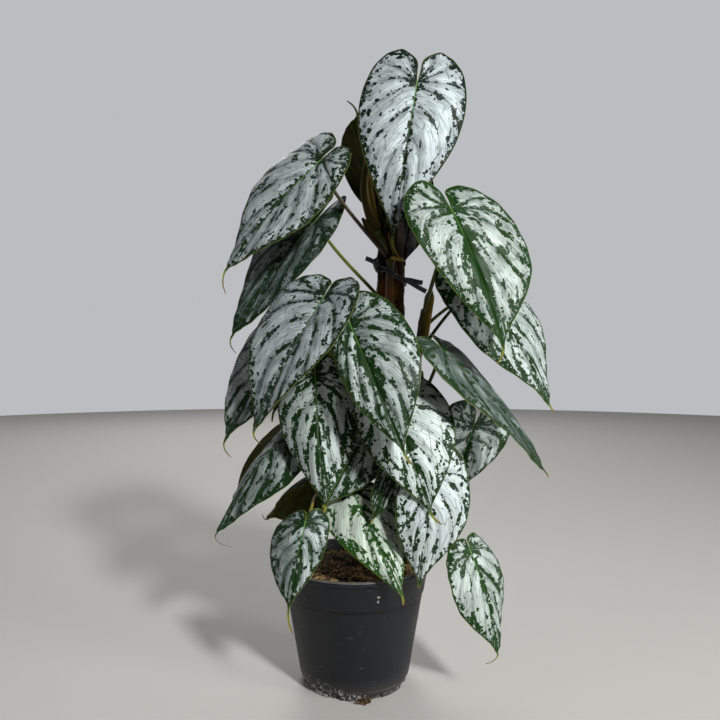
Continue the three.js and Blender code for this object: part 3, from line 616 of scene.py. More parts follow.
def blade_values(leaf, index):
    """The middle sheet of a whole blade, and its coordinates for the finish, all in mm."""
    form = leaf["form"]
    run_length = form["length"] * RUN_STRETCH
    sheet = np.zeros((POINT_COUNT, 3))
    off_vein, vein_run, cross_run = np.zeros((3, POINT_COUNT))
    sheet[MIDRIB] = form["rib"](rib_start(row_shares))[0]
    for half, grid in zip(form["halves"], (LEFT, RIGHT)):
        points, vein, off = half_points(leaf, half, index)
        sheet[grid] = points[:, 1:]
        steps = np.linalg.norm(np.diff(points, axis=1), axis=2)
        vein_run[grid] = half["sign"] * np.cumsum(steps, axis=1)
        off_vein[grid] = off[:, 1:]
        cross_run[grid] = vein[:, 1:] * run_length
    cross_run[MIDRIB] = row_shares * run_length
    sheet[DRIP] = drip_points(leaf)
    cross_run[DRIP] = run_length
    off_vein[DRIP] = DRIP_OFF_VEIN
    edge = distance_to_line(sheet, sheet[MARGIN + MARGIN[:1]])
    rib = distance_to_line(sheet, np.vstack([sheet[np.unique(MIDRIB)], sheet[DRIP[:, COLUMNS]]]))
    flat = sheet - leaf["base"]
    shift = np.full(POINT_COUNT, LEAF_SHIFT * index)
    return sheet, dict(
        vein=np.column_stack([cross_run, vein_run, shift]),
        plane=np.column_stack([flat @ form["across"], flat @ unit(leaf["tip"]), shift]),
        reach=np.column_stack([edge, rib, off_vein]),
    )


print("values that each point carries:", list(blade_values(LEAVES[0], 0)[1]))

# %% [markdown]
# The finish of a leaf.
# The silver is a layer of air under the skin, so it is bright and slightly metallic to the eye, with
# fine streaks, thin dark contour lines and hatching along the side veins. The real hatching is too fine
# to show in the render, so it is drawn coarser here. Where the air layer is missing the leaf shows plain
# green: in a band along the midrib, in a star at the petiole, in broken stretches along the side veins,
# in patches, in a chain of blots inside the margin and on the margin itself. Each of these is a field in
# mm, and where the largest of them is above nought the leaf is green. Small cells of random height make
# its border as jagged as the real one.

# %% Upper side: what the points say, and the spots that roughen every border
SPOT = 2.7
SPECK = 0.95
WARP = 4.0
SWING = 7.5

material, tree = new_material("philodendron_upper_side")
vein, plane, reach, marks, tone, extent = (
    add(tree, ("Attribute", {"attribute_name": name})).outputs["Vector"]
    for name in ("vein", "plane", "reach", "marks", "tone", "extent"))
edge, rib, off_vein = add(tree, "SeparateXYZ", reach).outputs
band, side, hem = add(tree, "SeparateXYZ", marks).outputs
silver, fresh, drip = add(tree, "SeparateXYZ", tone).outputs
patches, part, along = add(tree, "SeparateXYZ", extent).outputs
# Round spots of two sizes, each with a random height: they scallop every border of the green
warp = add(tree, "TexNoise", Vector=plane, Scale=1 / WARP, Detail=2)
bent = add(tree, STRETCH_PLUS, warp.outputs["Color"], (2, 2, 0), plane)
spot = add(tree, "TexVoronoi", Vector=bent, Scale=1 / SPOT)
speck = add(tree, "TexVoronoi", Vector=bent, Scale=1 / SPECK)
spot_draw = add(tree, "SeparateColor", spot.outputs["Color"])
speck_draw = add(tree, "SeparateColor", speck.outputs["Color"])
spot_height = add(tree, TIMES_PLUS, spot_draw, 2.4, add(tree, TIMES_PLUS, spot, -2.6, -0.2))
speck_height = add(tree, TIMES_PLUS, speck_draw, 0.6, add(tree, TIMES, speck, -0.6))
jag = add(tree, PLUS, spot_height, speck_height)
# One slow change of width, in mm, makes every band swell, thin and break off. A noise lies mostly
# between 0.3 and 0.7, so what is added to it sets where nought is
slow_grid = add(tree, STRETCH, vein, (1.1 / SWING, 0.65 / SWING, 1))
slow = add(tree, "TexNoise", Vector=slow_grid, Scale=1, Detail=1)
swing = add(tree, TIMES_PLUS, slow, 13, -6.3)
print("nodes so far:", len(tree.nodes))

# %% Upper side: where the leaf is green
# Each name that starts with in_ is one of the fields in mm, above nought inside the green
VEIN_WAIST = 0.4
STAR_REACH = 2.0
PATCH = 9.0
CHAIN_INSET = 8.0
MOTTLE_WIDTH = 7.0

# The band along the midrib
band_width = add(tree, TIMES_PLUS, swing, add(tree, TIMES, band, 0.2), band)
in_band = add(tree, TIMES_PLUS, jag, 1.5, add(tree, MINUS, band_width, rib))
# Green along the side veins, wide at the midrib, thin half way out and widest at the margin
off_waist = add(tree, MINUS, part, VEIN_WAIST)
side_run = add(tree, TIMES_PLUS, add(tree, TIMES, off_waist, off_waist), 2.4, 0.6)
side_width = add(tree, TIMES_PLUS, side, side_run, swing)
in_side = add(tree, TIMES_PLUS, jag, 0.8, add(tree, MINUS, side_width, off_vein))
# A star where the petiole joins, out along the first side veins
from_petiole = add(tree, LENGTH, add(tree, STRETCH, plane, (1, 1, 0)))
star_size = add(tree, TIMES_PLUS, band, 0.35, STAR_REACH)
star_width = add(tree, TIMES_PLUS, from_petiole, -0.16, star_size)
in_star = add(tree, TIMES_PLUS, jag, 0.6, add(tree, TIMES_PLUS, off_vein, -0.8, star_width))
# Patches, few in the middle of a silver panel and more towards the margin
patch_grid = add(tree, STRETCH, vein, (1.1 / PATCH, 0.9 / PATCH, 1))
patch = add(tree, "TexNoise", Vector=patch_grid, Scale=1, Detail=1.5)
patch_bias = add(tree, TIMES_PLUS, patches, 5.5, add(tree, TIMES_PLUS, part, 1.5, -16.6))
in_patch = add(tree, PLUS, jag, add(tree, TIMES_PLUS, patch, 22, patch_bias))
# A broken chain of blots that runs round the blade inside its margin
off_chain = add(tree, NO_SIGN, add(tree, MINUS, edge, CHAIN_INSET))
chain_width = add(tree, TIMES_PLUS, patch, 16, -8.3)
in_chain = add(tree, PLUS, jag, add(tree, MINUS, chain_width, off_chain))
# The mottled zone within the margin, and the solid green hem of the margin itself
zone = add(tree, MINUS, edge, hem)
mottle = add(tree, "MapRange", zone, 0, MOTTLE_WIDTH, 0.6, -2.4)
in_mottle = add(tree, PLUS, jag, add(tree, TIMES_PLUS, swing, 0.5, mottle))
in_hem = add(tree, TIMES_PLUS, jag, 0.7, add(tree, TIMES, zone, -1))
field = in_star
for other in (in_band, in_side, in_patch, in_chain, in_mottle, in_hem):
    field = add(tree, LARGER, field, other)
# Small silver specks are left in the green, away from the midrib and the margin
off_speck = add(tree, TIMES_PLUS, speck_draw, -14, add(tree, TIMES_PLUS, speck, 3, 11.8))
speck_field = add(tree, TIMES_PLUS, add(tree, BELOW, part, 0.45), 9, off_speck)
speckled = add(tree, SMALLER, field, speck_field)
final = add(tree, LARGER, speckled, add(tree, TIMES_PLUS, edge, -1, 1))
green_mask = add(tree, "MapRange", final, -0.1, 0.1, 0, 1)
print("nodes so far:", len(tree.nodes))

# %% Upper side: silver and green
STREAK_WIDTH = 0.6
STREAK_LENGTH = 10.0
LINE_SPACING = 3.2
LINE_LENGTH = 12.5
HATCH_SPACING = 0.95
HATCH_LENGTH = 16.0
CLOUD = 14.0

# Streaks, contour lines and hatching of the silver run along the side veins
streak, line, hatch = (
    add(tree, "TexNoise", Scale=1, Detail=detail,
        Vector=add(tree, STRETCH, vein, (1 / width, 1 / length, 1)))
    for width, length, detail in ((STREAK_WIDTH, STREAK_LENGTH, 3), (LINE_SPACING, LINE_LENGTH, 0),
                                  (HATCH_SPACING, HATCH_LENGTH, 1)))
off_line = add(tree, NO_SIGN, add(tree, MINUS, line, 0.5))
on_line = add(tree, "MapRange", off_line, 0.008, 0.035, 0.6, 0)
on_hatch = add(tree, "MapRange", hatch, 0.36, 0.5, 0.38, 0)
on_vein = add(tree, "MapRange", off_vein, 0.1, 0.55, 0.75, 0)
dark_line = add(tree, LARGER, on_hatch, add(tree, LARGER, on_line, on_vein))
# The silver is clouded, and painted shade darkens it in the hollows along the side veins
cloud = add(tree, "TexNoise", Vector=plane, Scale=1 / CLOUD, Detail=2)
painted_vein_shade = add(tree, "MapRange", off_vein, 0.3, 3.2, -0.32, 0.08)
streaks_and_vein_shade = add(tree, TIMES_PLUS, streak, 1.5, painted_vein_shade)
clouded = add(tree, TIMES_PLUS, cloud, 1.3, add(tree, TIMES_PLUS, silver, 0.8, -1.25))
bright = add(tree, PLUS, streaks_and_vein_shade, clouded)
cool_silver = add(tree, COLOUR_MIX, bright, "#43504e", "#b8c2c6")
warm_silver = add(tree, COLOUR_MIX, bright, "#43513f", "#bcc9b8")
silver_colour = add(tree, COLOUR_MIX, fresh, cool_silver, warm_silver)
lined = add(tree, COLOUR_MIX, dark_line, silver_colour, "#243228")
dark_green = add(tree, COLOUR_MIX, streak, "#040b05", "#0c2010")
bright_green = add(tree, COLOUR_MIX, streak, "#12300a", "#2a5618")
green = add(tree, COLOUR_MIX, fresh, dark_green, bright_green)
colour = add(tree, COLOUR_MIX, green_mask, lined, green)
print("nodes so far:", len(tree.nodes))

# %% Upper side: midrib, margin and drip tip, and the finish
# The midrib is a thin lighter line, lightest at the petiole, and the margin a pale one
rib_light = add(tree, "MapRange", along, 0, 0.4, 0.8, 0.1)
on_rib = add(tree, "MapRange", rib, 0.3, 0.8, 1, 0)
colour = add(tree, COLOUR_MIX, add(tree, TIMES, on_rib, rib_light), colour, "#5b8a3e")
on_margin = add(tree, "MapRange", edge, 0.1, 0.5, 0.5, 0)
colour = add(tree, COLOUR_MIX, on_margin, colour, "#84913f")
# The drip tip is yellow green where it leaves the blade and dries to brown at its end
on_tip = add(tree, "MapRange", drip, 0, 0.3, 0, 1)
dried = add(tree, "MapRange", drip, 0.4, 0.9, 0, 1)
colour = add(tree, COLOUR_MIX, on_tip, colour, add(tree, COLOUR_MIX, dried, "#7f8636", "#8a6a2c"))
# The green stands a little lower than the silver, and is glossier and not metallic
relief = add(tree, TIMES_PLUS, green_mask, -0.4, streak)
upper_side = set_shader(material, Base_Color=colour, Specular_IOR_Level=0.16,
                        Roughness=add(tree, "MapRange", green_mask, 0, 1, 0.48, 0.42),
                        Metallic=add(tree, "MapRange", green_mask, 0, 1, 0.14, 0),
                        Normal=add(tree, "Bump", Strength=0.6, Distance=0.3 * MM, Height=relief))
print("nodes in the leaf finish:", len(upper_side.node_tree.nodes))

# %% [markdown]
# The under side of a leaf has no silver. It is matt, olive to brown, with the veins a little lighter, so
# a noise between two tones and the same distances to the veins are enough.

# %% Olive brown, the under side of a leaf
def blade_under():
    """Matt olive skin with lighter veins and margin."""
    material, tree = new_material("philodendron_under_side")
    plane, reach, tone = (add(tree, ("Attribute", {"attribute_name": name})).outputs["Vector"]
                          for name in ("plane", "reach", "tone"))
    edge, rib, off_vein = add(tree, "SeparateXYZ", reach).outputs
    fresh = add(tree, "SeparateXYZ", tone).outputs["Y"]
    cloud = add(tree, "TexNoise", Vector=plane, Scale=1 / 9, Detail=4)
    body = add(tree, COLOUR_MIX, cloud, "#2b2c10", "#575e24")
    nearest = add(tree, SMALLER, off_vein, add(tree, SMALLER, rib, edge))
    on_vein = add(tree, "MapRange", nearest, 0.2, 0.8, 0.6, 0)
    veined = add(tree, COLOUR_MIX, on_vein, body, "#66602e")
    # The leaf with no fresh green in it at all, the one behind the crown, is near black below as painted
    # shade, and the same near black darkens every other under side a little
    clear_of_painted_shade = add(tree, "MapRange", fresh, 0, 0.04, 0, 0.68)
    return set_shader(material, Base_Color=add(tree, COLOUR_MIX, clear_of_painted_shade, "#080805", veined),
                      Roughness=0.6, Specular_IOR_Level=0.12,
                      Normal=add(tree, "Bump", Strength=0.3, Distance=0.2 * MM, Height=cloud))


under_side = blade_under()
print("nodes in the under side:", len(under_side.node_tree.nodes))

# %% [markdown]
# A blade is one closed body: the sheet is doubled along its normals, and the two sides are joined round
# the margin. A Solidify modifier could do that, but then groove and ridge couldn't differ on the two
# sides. The look of each leaf goes into its points, so all leaves share two materials.

# %% Make the blades
BLADE_THICKNESS = 0.5
GROOVE = 0.45
GROOVE_WIDTH = 0.9
RIDGE = 0.8
RIDGE_FADE = 4


def make_blade(leaf, index):
    """One closed blade, with the values that the two finishes read."""
    sheet, values = blade_values(leaf, index)
    normals = sheet_normals(sheet, SHEET_FACES)
    edge, rib, _ = values["reach"].T
    near_rib = np.exp(-(rib / GROOVE_WIDTH) ** 2)
    ridge = RIDGE * near_rib * np.minimum(1, edge / RIDGE_FADE)
    top = sheet + normals * (BLADE_THICKNESS / 2 - GROOVE * near_rib)[:, None]
    low = sheet - normals * (BLADE_THICKNESS / 2 + ridge)[:, None]
    faces = [list(face) for face in SHEET_FACES]
    faces += [[k + POINT_COUNT for k in reversed(face)] for face in SHEET_FACES]
    faces += [[a, a + POINT_COUNT, b + POINT_COUNT, b] for a, b in RIM]
    kinds = [0] * len(SHEET_FACES) + [1] * len(SHEET_FACES) + [0] * len(RIM)
    band, side, hem, patches, silver, fresh = leaf.get("look", USUAL_LOOK)
    share = np.clip(values["plane"][:, 1] / leaf["form"]["length"], 0, 1)
    swell = 0.4 + 0.8 * np.exp(-((share - 0.4) / 0.2) ** 2) + 0.25 * share
    drip = np.zeros(POINT_COUNT)
    drip[DRIP] = np.linspace(0.1, 1, DRIP_ROWS)[:, None]
    part = rib / (edge + rib + 0.1)
    same = np.ones(POINT_COUNT)
    values["marks"] = np.column_stack([band * swell, side * same, hem * (1 - 0.35 * share)])
    values["tone"] = np.column_stack([silver * same, fresh * same, drip])
    values["extent"] = np.column_stack([patches * same, part, share])
    both = {key: np.vstack([value, value]) for key, value in values.items()}
    return make_piece(leaf["name"] + "_blade", np.vstack([top, low]), faces, [upper_side, under_side],
                      [leaf["name"]], both, kinds)


blades = [make_blade(leaf, index) for index, leaf in enumerate(LEAVES)]
print("blades:", len(blades), "faces:", sum(len(blade.data.polygons) for blade in blades))

# %% [markdown]
# Stems and petioles.
# A climbing stem is round, ringed by a scar at each node, and its petioles run out of it without a seam.
# Old papery sheaths still stand round the upper nodes. Each is a tube: rings of points round a curve,
# with a frame that is carried along so that it doesn't twist. The stem's curve is the one of the packed
# model, so the tubes lie where the plain ones are.

# %% Curves
def stem_curve(path, shares):
    """Points on the smooth curve through a path, with knots spaced by the root of their distance."""
    path = np.array(path, float)
    ends = np.vstack([2 * path[0] - path[1], path, 2 * path[-1] - path[-2]])
    last = len(path) - 1
    (a, b, c, d), u = four_round(ends, np.asarray(shares) * last, last)
    gap_a, gap_b, gap_c = (np.linalg.norm(step, axis=1)[:, None] ** 0.5 for step in (b - a, c - b, d - c))
    lead = ((b - a) / gap_a - (c - a) / (gap_a + gap_b) + (c - b) / gap_b) * gap_b
    trail = ((c - b) / gap_b - (d - b) / (gap_b + gap_c) + (d - c) / gap_c) * gap_b
    return b + lead * u + (3 * (c - b) - 2 * lead - trail) * u ** 2 + (2 * (b - c) + lead + trail) * u ** 3


def bezier(a, b, c, d, steps):
    """Points on the curve that leaves a towards b and comes to d from c."""
    t = np.linspace(0, 1, steps)[:, None]
    return a * (1 - t) ** 3 + 3 * b * t * (1 - t) ** 2 + 3 * c * t * t * (1 - t) + d * t ** 3


print("middle of a bent line:", stem_curve([(0, 0, 0), (1, 0, 0), (1, 1, 0)], [0.5]))

# %% Tubes
def ring_faces(rings, sides, first=0, looped=False):
    """Faces that join each ring of points to the next, and the last to the first where looped."""
    faces = []
    for ring in range(rings if looped else rings - 1):
        low, high = first + ring * sides, first + (ring + 1) % rings * sides
        faces += [[low + k, low + (k + 1) % sides, high + (k + 1) % sides, high + k] for k in range(sides)]
    return faces


def end_faces(rings, sides):
    """The two faces that close a row of rings."""
    return [list(range(sides))[::-1], [(rings - 1) * sides + k for k in range(sides)]]


def tube(centres, radii, sides, flat=1.0, groove=0.0):
    """Points and faces of a closed tube; flat squeezes its section, groove sinks a channel along it."""
    centres = np.asarray(centres, float)
    rings = len(centres)
    runs = np.gradient(centres, axis=0)
    runs /= np.linalg.norm(runs, axis=1)[:, None]
    side = unit(np.cross(runs[0], (0.31, 0.87, 0.12)))
    turn = 2 * math.pi * np.arange(sides) / sides
    wide = np.cos(turn)[:, None]
    thick = (flat * np.sin(turn) * (1 - groove * np.exp(-(np.cos(turn) / 0.5) ** 2)))[:, None]
    points = []
    for centre, run, radius in zip(centres, runs, np.broadcast_to(radii, rings)):
        side = unit(side - run * (side @ run))
        points.append(centre + radius * (wide * side + thick * np.cross(run, side)))
    return np.vstack(points), ring_faces(rings, sides) + end_faces(rings, sides)


print("faces of a short tube:", len(tube([(0, 0, 0), (0, 0, 1), (0, 0, 2)], 1, 6)[1]))

# %% Forms gathered into one piece
class Parts:
    """Gathers closed forms that make one piece, with the values of their points."""

    def __init__(self):
        self.points, self.faces, self.kinds, self.values = [], [], [], {}
        self.count = 0

    def add(self, points, faces, kind=0, **values):
        self.points.append(points)
        self.faces += [[k + self.count for k in face] for face in faces]
        self.kinds += [kind] * len(faces)
        for key, value in values.items():
            self.values.setdefault(key, []).append(np.broadcast_to(value, (len(points), 3)))
        self.count += len(points)

    def make(self, name, materials, replaces, sharp=50):
        values = {key: np.vstack(rows) for key, rows in self.values.items()}
        made = make_piece(name, np.vstack(self.points), self.faces, materials, replaces, values,
                          self.kinds, sharp)
        print(name, "has", len(made.data.polygons), "faces")


print("a new piece starts with", Parts().count, "points")

# %% [markdown]
# Living stems are smooth and slightly glossy, brown where old and green where young. Dead sheaths are
# like thin paper, with fibres along their length. In both a noise goes from a darker to a lighter tone,
# stretched along the fibres for the paper, and the points say how green, golden or rusty a place is.

# %% Finishes of stems and sheaths
def stem_skin():
    """Smooth live skin, from olive brown to fresh green by the value that each stem carries."""
    material, tree = new_material("philodendron_stem_skin")
    skin = add(tree, ("Attribute", {"attribute_name": "skin"})).outputs["Vector"]
    freshness, gold, scurf = add(tree, "SeparateXYZ", skin).outputs
    place = add(tree, "TexCoord").outputs["Object"]
    fine = add(tree, "TexNoise", Vector=place, Scale=1 / (1.5 * MM), Detail=3)
    cloud = add(tree, "TexNoise", Vector=place, Scale=1 / (9 * MM), Detail=2)
    brown = add(tree, COLOUR_MIX, fine, "#1e150a", "#4a3716")
    green = add(tree, COLOUR_MIX, cloud, "#33521a", "#6b8a32")
    colour = add(tree, COLOUR_MIX, freshness, brown, green)
    colour = add(tree, COLOUR_MIX, gold, colour, "#a1822a")
    colour = add(tree, COLOUR_MIX, scurf, colour, "#8a4a1c")
    return set_shader(material, Base_Color=colour, Roughness=0.42,
                      Normal=add(tree, "Bump", Strength=0.35, Distance=0.2 * MM, Height=fine))


def dry_sheath():
    """Papery dead sheaths: fibrous, streaked along their length, matt."""
    material, tree = new_material("dry_sheath_paper")
    skin = add(tree, ("Attribute", {"attribute_name": "skin"})).outputs["Vector"]
    light = add(tree, "SeparateXYZ", skin).outputs["Y"]
    place = add(tree, "TexCoord").outputs["Object"]
    grain = add(tree, STRETCH, place, (1 / (0.6 * MM), 1 / (0.6 * MM), 1 / (8 * MM)))
    fibre = add(tree, "TexNoise", Vector=grain, Scale=1, Detail=4)
    dark = add(tree, COLOUR_MIX, fibre, "#080604", "#2a1c10")
    golden = add(tree, COLOUR_MIX, fibre, "#5e4d14", "#bda352")
    return set_shader(material, Base_Color=add(tree, COLOUR_MIX, light, dark, golden),
                      Roughness=0.75, Specular_IOR_Level=0.12,
                      Normal=add(tree, "Bump", Strength=0.6, Distance=0.3 * MM, Height=fibre))


stem_finishes = [stem_skin(), dry_sheath()]
SKIN, PAPER = range(2)
print("finishes of the vines:", [material.name for material in stem_finishes])

# %% [markdown]
# Each vine is one piece with its petioles, sheaths and root hairs, because it grew as one. The petioles
# start inside the stem, where a swollen scar hides the joint, and end in the back of their blade.

# %% The rows of vines
# path is the run of the stem, and scurf the height where it is rusty. A sheath is its two ends, its half
# width, how flat it is and how light, and a green sheath its two ends and half width. A thread is a
# route and a radius. hairs counts the fine root hairs on the stem under the tie.
VINES = [
    dict(name="vine_main", radius=3.2, scurf=312, hairs=26,
         sheaths=[((25, -13.5, 346), (6, -12, 374), 2.9, 0.6, 0.25),
                  ((28, -14.8, 336), (32, -14.8, 379), 4.2, 0.8, 0.0),
                  ((27, -15, 343), (24, -15, 366), 3.4, 0.7, 0.0),
                  ((20, -12, 352), (7.5, -13, 423), 2.8, 0.5, 0.35),
                  ((23, -10.5, 350), (13, -11, 418), 3.2, 0.6, 0.04),
                  ((30, -8, 350), (24, -6, 400), 5.0, 0.6, 0.0),
                  ((28.5, -18, 341), (39.5, -19.5, 339), 1.5, 0.4, 1.0)],
         threads=[([(26.6, -19.4, 361), (28.5, -19.6, 351), (31.4, -19.8, 342), (33.8, -19.6, 327)], 0.35)],
         path=[(27, -13.8, 78), (27, -13.8, 150), (27.5, -13.8, 240), (28, -13.8, 320), (28.4, -13.8, 340),
               (22, -13.8, 357), (16, -12, 367)]),
    dict(name="vine_right", radius=2.8, scurf=302, sheaths=[((54.5, 3, 240), (53, 1, 252), 3.4, 0.5, 0.8)],
         green_sheaths=[((55.5, 4, 268), (62.5, 1, 317), 4.2)],
         path=[(44, 10, 78), (47, 10, 150), (51, 9, 230), (56, 7, 302)]),
    dict(name="vine_low", radius=2.6, scurf=150, path=[(5, 5, 78), (2, 4, 130), (-3, 2, 176)]),
]
print("vines:", len(VINES))

# %% Stems and their petioles
STEM_STEPS = 400
STEM_SIDES = 24
PETIOLE_RADIUS = 1.5
PETIOLE_STEPS = 44
PETIOLE_SIDES = 18
PETIOLE_HOOK = 0.14
HOOK_BACK = 0.75
HOOK_DOWN = 0.65
CLEARANCE = 0.35
CAD_THICKNESS = 0.8
SCAR_SWELL = 0.35
SCAR_LENGTH = 2.2
SCURF_LENGTH = 11


def petiole_points(stem, leaf, steps):
    """The petiole's curve: out of its node, then over and up to the back of the blade."""
    rib = leaf["form"]["rib"]
    face = rib(0.0)[1]
    down = unit(rib(0.05)[0] - rib(0.0)[0])
    start = stem[np.argmin(np.abs(stem[:, 2] - leaf["node"]))]
    hook = unit(HOOK_DOWN * down - HOOK_BACK * face) * PETIOLE_HOOK * leaf["form"]["length"]
    turn = np.array(leaf.get("turn", hook), float)
    slant = math.sqrt(max(0, 1 - (unit(turn) @ face) ** 2))
    end = leaf["base"] - face * (CLEARANCE + CAD_THICKNESS / 2 + PETIOLE_RADIUS * slant)
    curve = bezier(start, start + np.array(leaf["lead"]), end + turn, end, steps)
    return np.vstack([curve, leaf["base"] - face * 0.3])


def add_tube(parts, curve, radii, sides, kind, fresh, gold=0.0, scurf=0.0, **form):
    """Add a tube with its skin: each value is a number, a column for its rings or a row for its sides."""
    points, faces = tube(curve, radii, sides, **form)
    skin = [np.broadcast_to(value, (len(curve), sides)).ravel() for value in (fresh, gold, scurf)]
    parts.add(points, faces, kind, skin=np.column_stack(skin))


def add_stem(parts, vine, stem, nodes):
    """The stem, swollen at its nodes, rusty at its scurf and drawn in at its top."""
    share = np.linspace(0, 1, STEM_STEPS)
    scars = sum(np.exp(-((stem[:, 2] - height) / SCAR_LENGTH) ** 2) for height in nodes)
    radii = vine["radius"] * (0.94 + SCAR_SWELL / vine["radius"] * np.minimum(scars, 1))
    scurf = 0.7 * np.exp(-((stem[:, 2] - vine["scurf"]) / SCURF_LENGTH) ** 2)
    add_tube(parts, stem, radii * np.minimum(1, 0.35 + 8 * (1 - share)), STEM_SIDES, SKIN,
             (0.1 + 0.25 * share)[:, None], scurf=scurf[:, None])


def add_petiole(parts, stem, leaf):
    """A petiole, thick at its node; a winged one is wide and flat there, with golden edges."""
    curve = petiole_points(stem, leaf, PETIOLE_STEPS)
    t = np.linspace(0, 1, len(curve))
    fresh, gold, wide = leaf.get("petiole", (0.5, 0.0, 1.0))
    winged = 1 + (wide - 1) * np.clip(1.2 * (1 - t), 0, 1)
    width = PETIOLE_RADIUS * (1 + 0.45 * np.exp(-(t / 0.07) ** 2) - 0.12 * t) * winged
    edges = np.abs(np.cos(2 * math.pi * np.arange(PETIOLE_SIDES) / PETIOLE_SIDES)) ** (2 * (wide - 1))
    add_tube(parts, curve, width, PETIOLE_SIDES, SKIN, (fresh * (0.35 + 0.65 * t))[:, None],
             np.outer(gold * (1 - 0.5 * t), edges), flat=wide ** -0.8, groove=0.3)


print("steps along a stem:", STEM_STEPS, "and along a petiole:", PETIOLE_STEPS)

# %% Old sheaths and root hairs, and make the vines
SHEATH_STEPS = 30
SHEATH_ENDS = ((0.3, 6), (0.15, 4.5))
GREEN_SHEATH_ENDS = ((0.5, 3), (0.3, 6))
GOLDEN_TURN = 2.6
THREAD_STEPS = 16
HAIR_STEPS = 8
HAIR_RADII = (0.18, 0.35)
HAIR_ASIDE = (23.5, 31)
HAIR_FRONT = -16.5
HAIR_HEIGHTS = (299, 311)
FINE_SIDES = 5


def sheath_line(start, end, radius, foot, tip):
    """The line of a sheath and its half widths; foot and tip are its share of width there and its growth."""
    start, end = np.array(start), np.array(end)
    t = np.linspace(0, 1, SHEATH_STEPS)
    closing = np.minimum(1, tip[0] + tip[1] * (1 - t)) ** 0.7
    return start + t[:, None] * (end - start), radius * np.minimum(1, foot[0] + foot[1] * t) * closing


def make_vine(vine):
    """A stem and all that grows on it but the blades."""
    parts = Parts()
    stem = stem_curve(vine["path"], np.linspace(0, 1, STEM_STEPS))
    carried = [leaf for leaf in LEAVES if leaf["vine"] == vine["name"]]
    add_stem(parts, vine, stem, [leaf["node"] for leaf in carried])
    for leaf in carried:
        add_petiole(parts, stem, leaf)
    for start, end, radius, flat, light in vine.get("sheaths", []):
        curve, widths = sheath_line(start, end, radius, *SHEATH_ENDS)
        add_tube(parts, curve, widths, STEM_SIDES, PAPER, 0, light, flat=flat, groove=0.25)
    turn = 2 * math.pi * np.arange(STEM_SIDES) / STEM_SIDES
    golden = 0.15 + 0.8 * np.maximum(0, np.cos(turn - GOLDEN_TURN)) ** 2
    for start, end, radius in vine.get("green_sheaths", []):
        curve, widths = sheath_line(start, end, radius, *GREEN_SHEATH_ENDS)
        add_tube(parts, curve, widths, STEM_SIDES, SKIN, 0.3, golden, flat=0.45, groove=0.4)
    for route, radius in vine.get("threads", []):
        curve = stem_curve(route, np.linspace(0, 1, THREAD_STEPS))
        add_tube(parts, curve, radius * np.linspace(1, 0.3, THREAD_STEPS), FINE_SIDES, PAPER, 0, 0.9)
    for _ in range(vine.get("hairs", 0)):
        foot = np.array([random.uniform(*HAIR_ASIDE), HAIR_FRONT, random.uniform(*HAIR_HEIGHTS)])
        x, y, z = random.uniform(-1, 1, 3) * (3, 1, 3)
        route = [foot, foot + (0.4 * x, -1.6, 0.6 * z), foot + (x, -1.2 + 0.5 * y, z)]
        curve = stem_curve(route, np.linspace(0, 1, HAIR_STEPS))
        add_tube(parts, curve, random.uniform(*HAIR_RADII), FINE_SIDES, PAPER, 0, 0.8)
    parts.make(vine["name"] + "_skin", stem_finishes, [vine["name"]])


for vine in VINES:
    make_vine(vine)

# %% [markdown]
# The coir pole.
# A coir pole is a core wrapped in coconut fibre. The body is a rough dark cylinder, and hundreds of
# short bent fibres lie on it and stand off it, as mesh strands, so they stay in the model.

# %% Coir finish
# In mm: where the painted shade on the pole's top starts and how far it fades in, and the middle of a patch
# of painted light
SHADE_TOP_HEIGHT = 330
SHADE_TOP_FADE = 12
LIT_PATCH = (25, -8, 316)


def coir_fibre():
    """Coconut fibre: a dark core under light brown strands, painted shade over the tie and painted light in
    one patch.
    """
    material, tree = new_material("coir_fibre")
    tint = add(tree, ("Attribute", {"attribute_name": "tint"})).outputs["Vector"]
    place = add(tree, "TexCoord").outputs["Object"]
    height = add(tree, "SeparateXYZ", place).outputs["Z"]
    grain = add(tree, STRETCH, place, (1 / (0.5 * MM), 1 / (0.5 * MM), 1 / (5 * MM)))
    fibre = add(tree, "TexNoise", Vector=grain, Scale=1, Detail=4)
    core = add(tree, COLOUR_MIX, fibre, "#0d0704", "#452a14")
    strand = add(tree, COLOUR_MIX, fibre, "#4a2f16", "#a07a48")
    colour = add(tree, COLOUR_MIX, add(tree, "SeparateXYZ", tint), core, strand)
    # Painted shade: over the tie the fibre goes near black
    painted_top_shade = add(tree, "MapRange", height, SHADE_TOP_HEIGHT * MM, (SHADE_TOP_HEIGHT + SHADE_TOP_FADE) * MM, 0, 0.9)
    colour = add(tree, COLOUR_MIX, painted_top_shade, colour, "#040302")
    # Painted light: an orange brown patch where the fibre is lit
    from_lit_patch = add(tree, DISTANCE, place, tuple(v * MM for v in LIT_PATCH))
    dry = add(tree, "MapRange", from_lit_patch, 6 * MM, 12 * MM, 0.75, 0)
    colour = add(tree, COLOUR_MIX, dry, colour, "#96601f")
    return set_shader(material, Base_Color=colour, Roughness=0.85, Specular_IOR_Level=0.2,
                      Normal=add(tree, "Bump", Strength=0.7, Distance=0.4 * MM, Height=fibre))


coir = coir_fibre()
print("nodes in the coir's finish:", len(coir.node_tree.nodes))

# %% Coir pole
POLE_RADIUS = 10.6
POLE_TOP = np.array([30, 2, 372.0])
POLE_FOOT = np.array([28, 2, 22.0])
POLE_ROUGHNESS = 0.7
POLE_SIDES = 96
POLE_RINGS = 220
STRANDS = 900
STRAND_STEPS = 6
STRAND_HEIGHTS = (88, 368)
STRAND_LENGTHS = (8, 26)
STRAND_RADII = (0.15, 0.32)


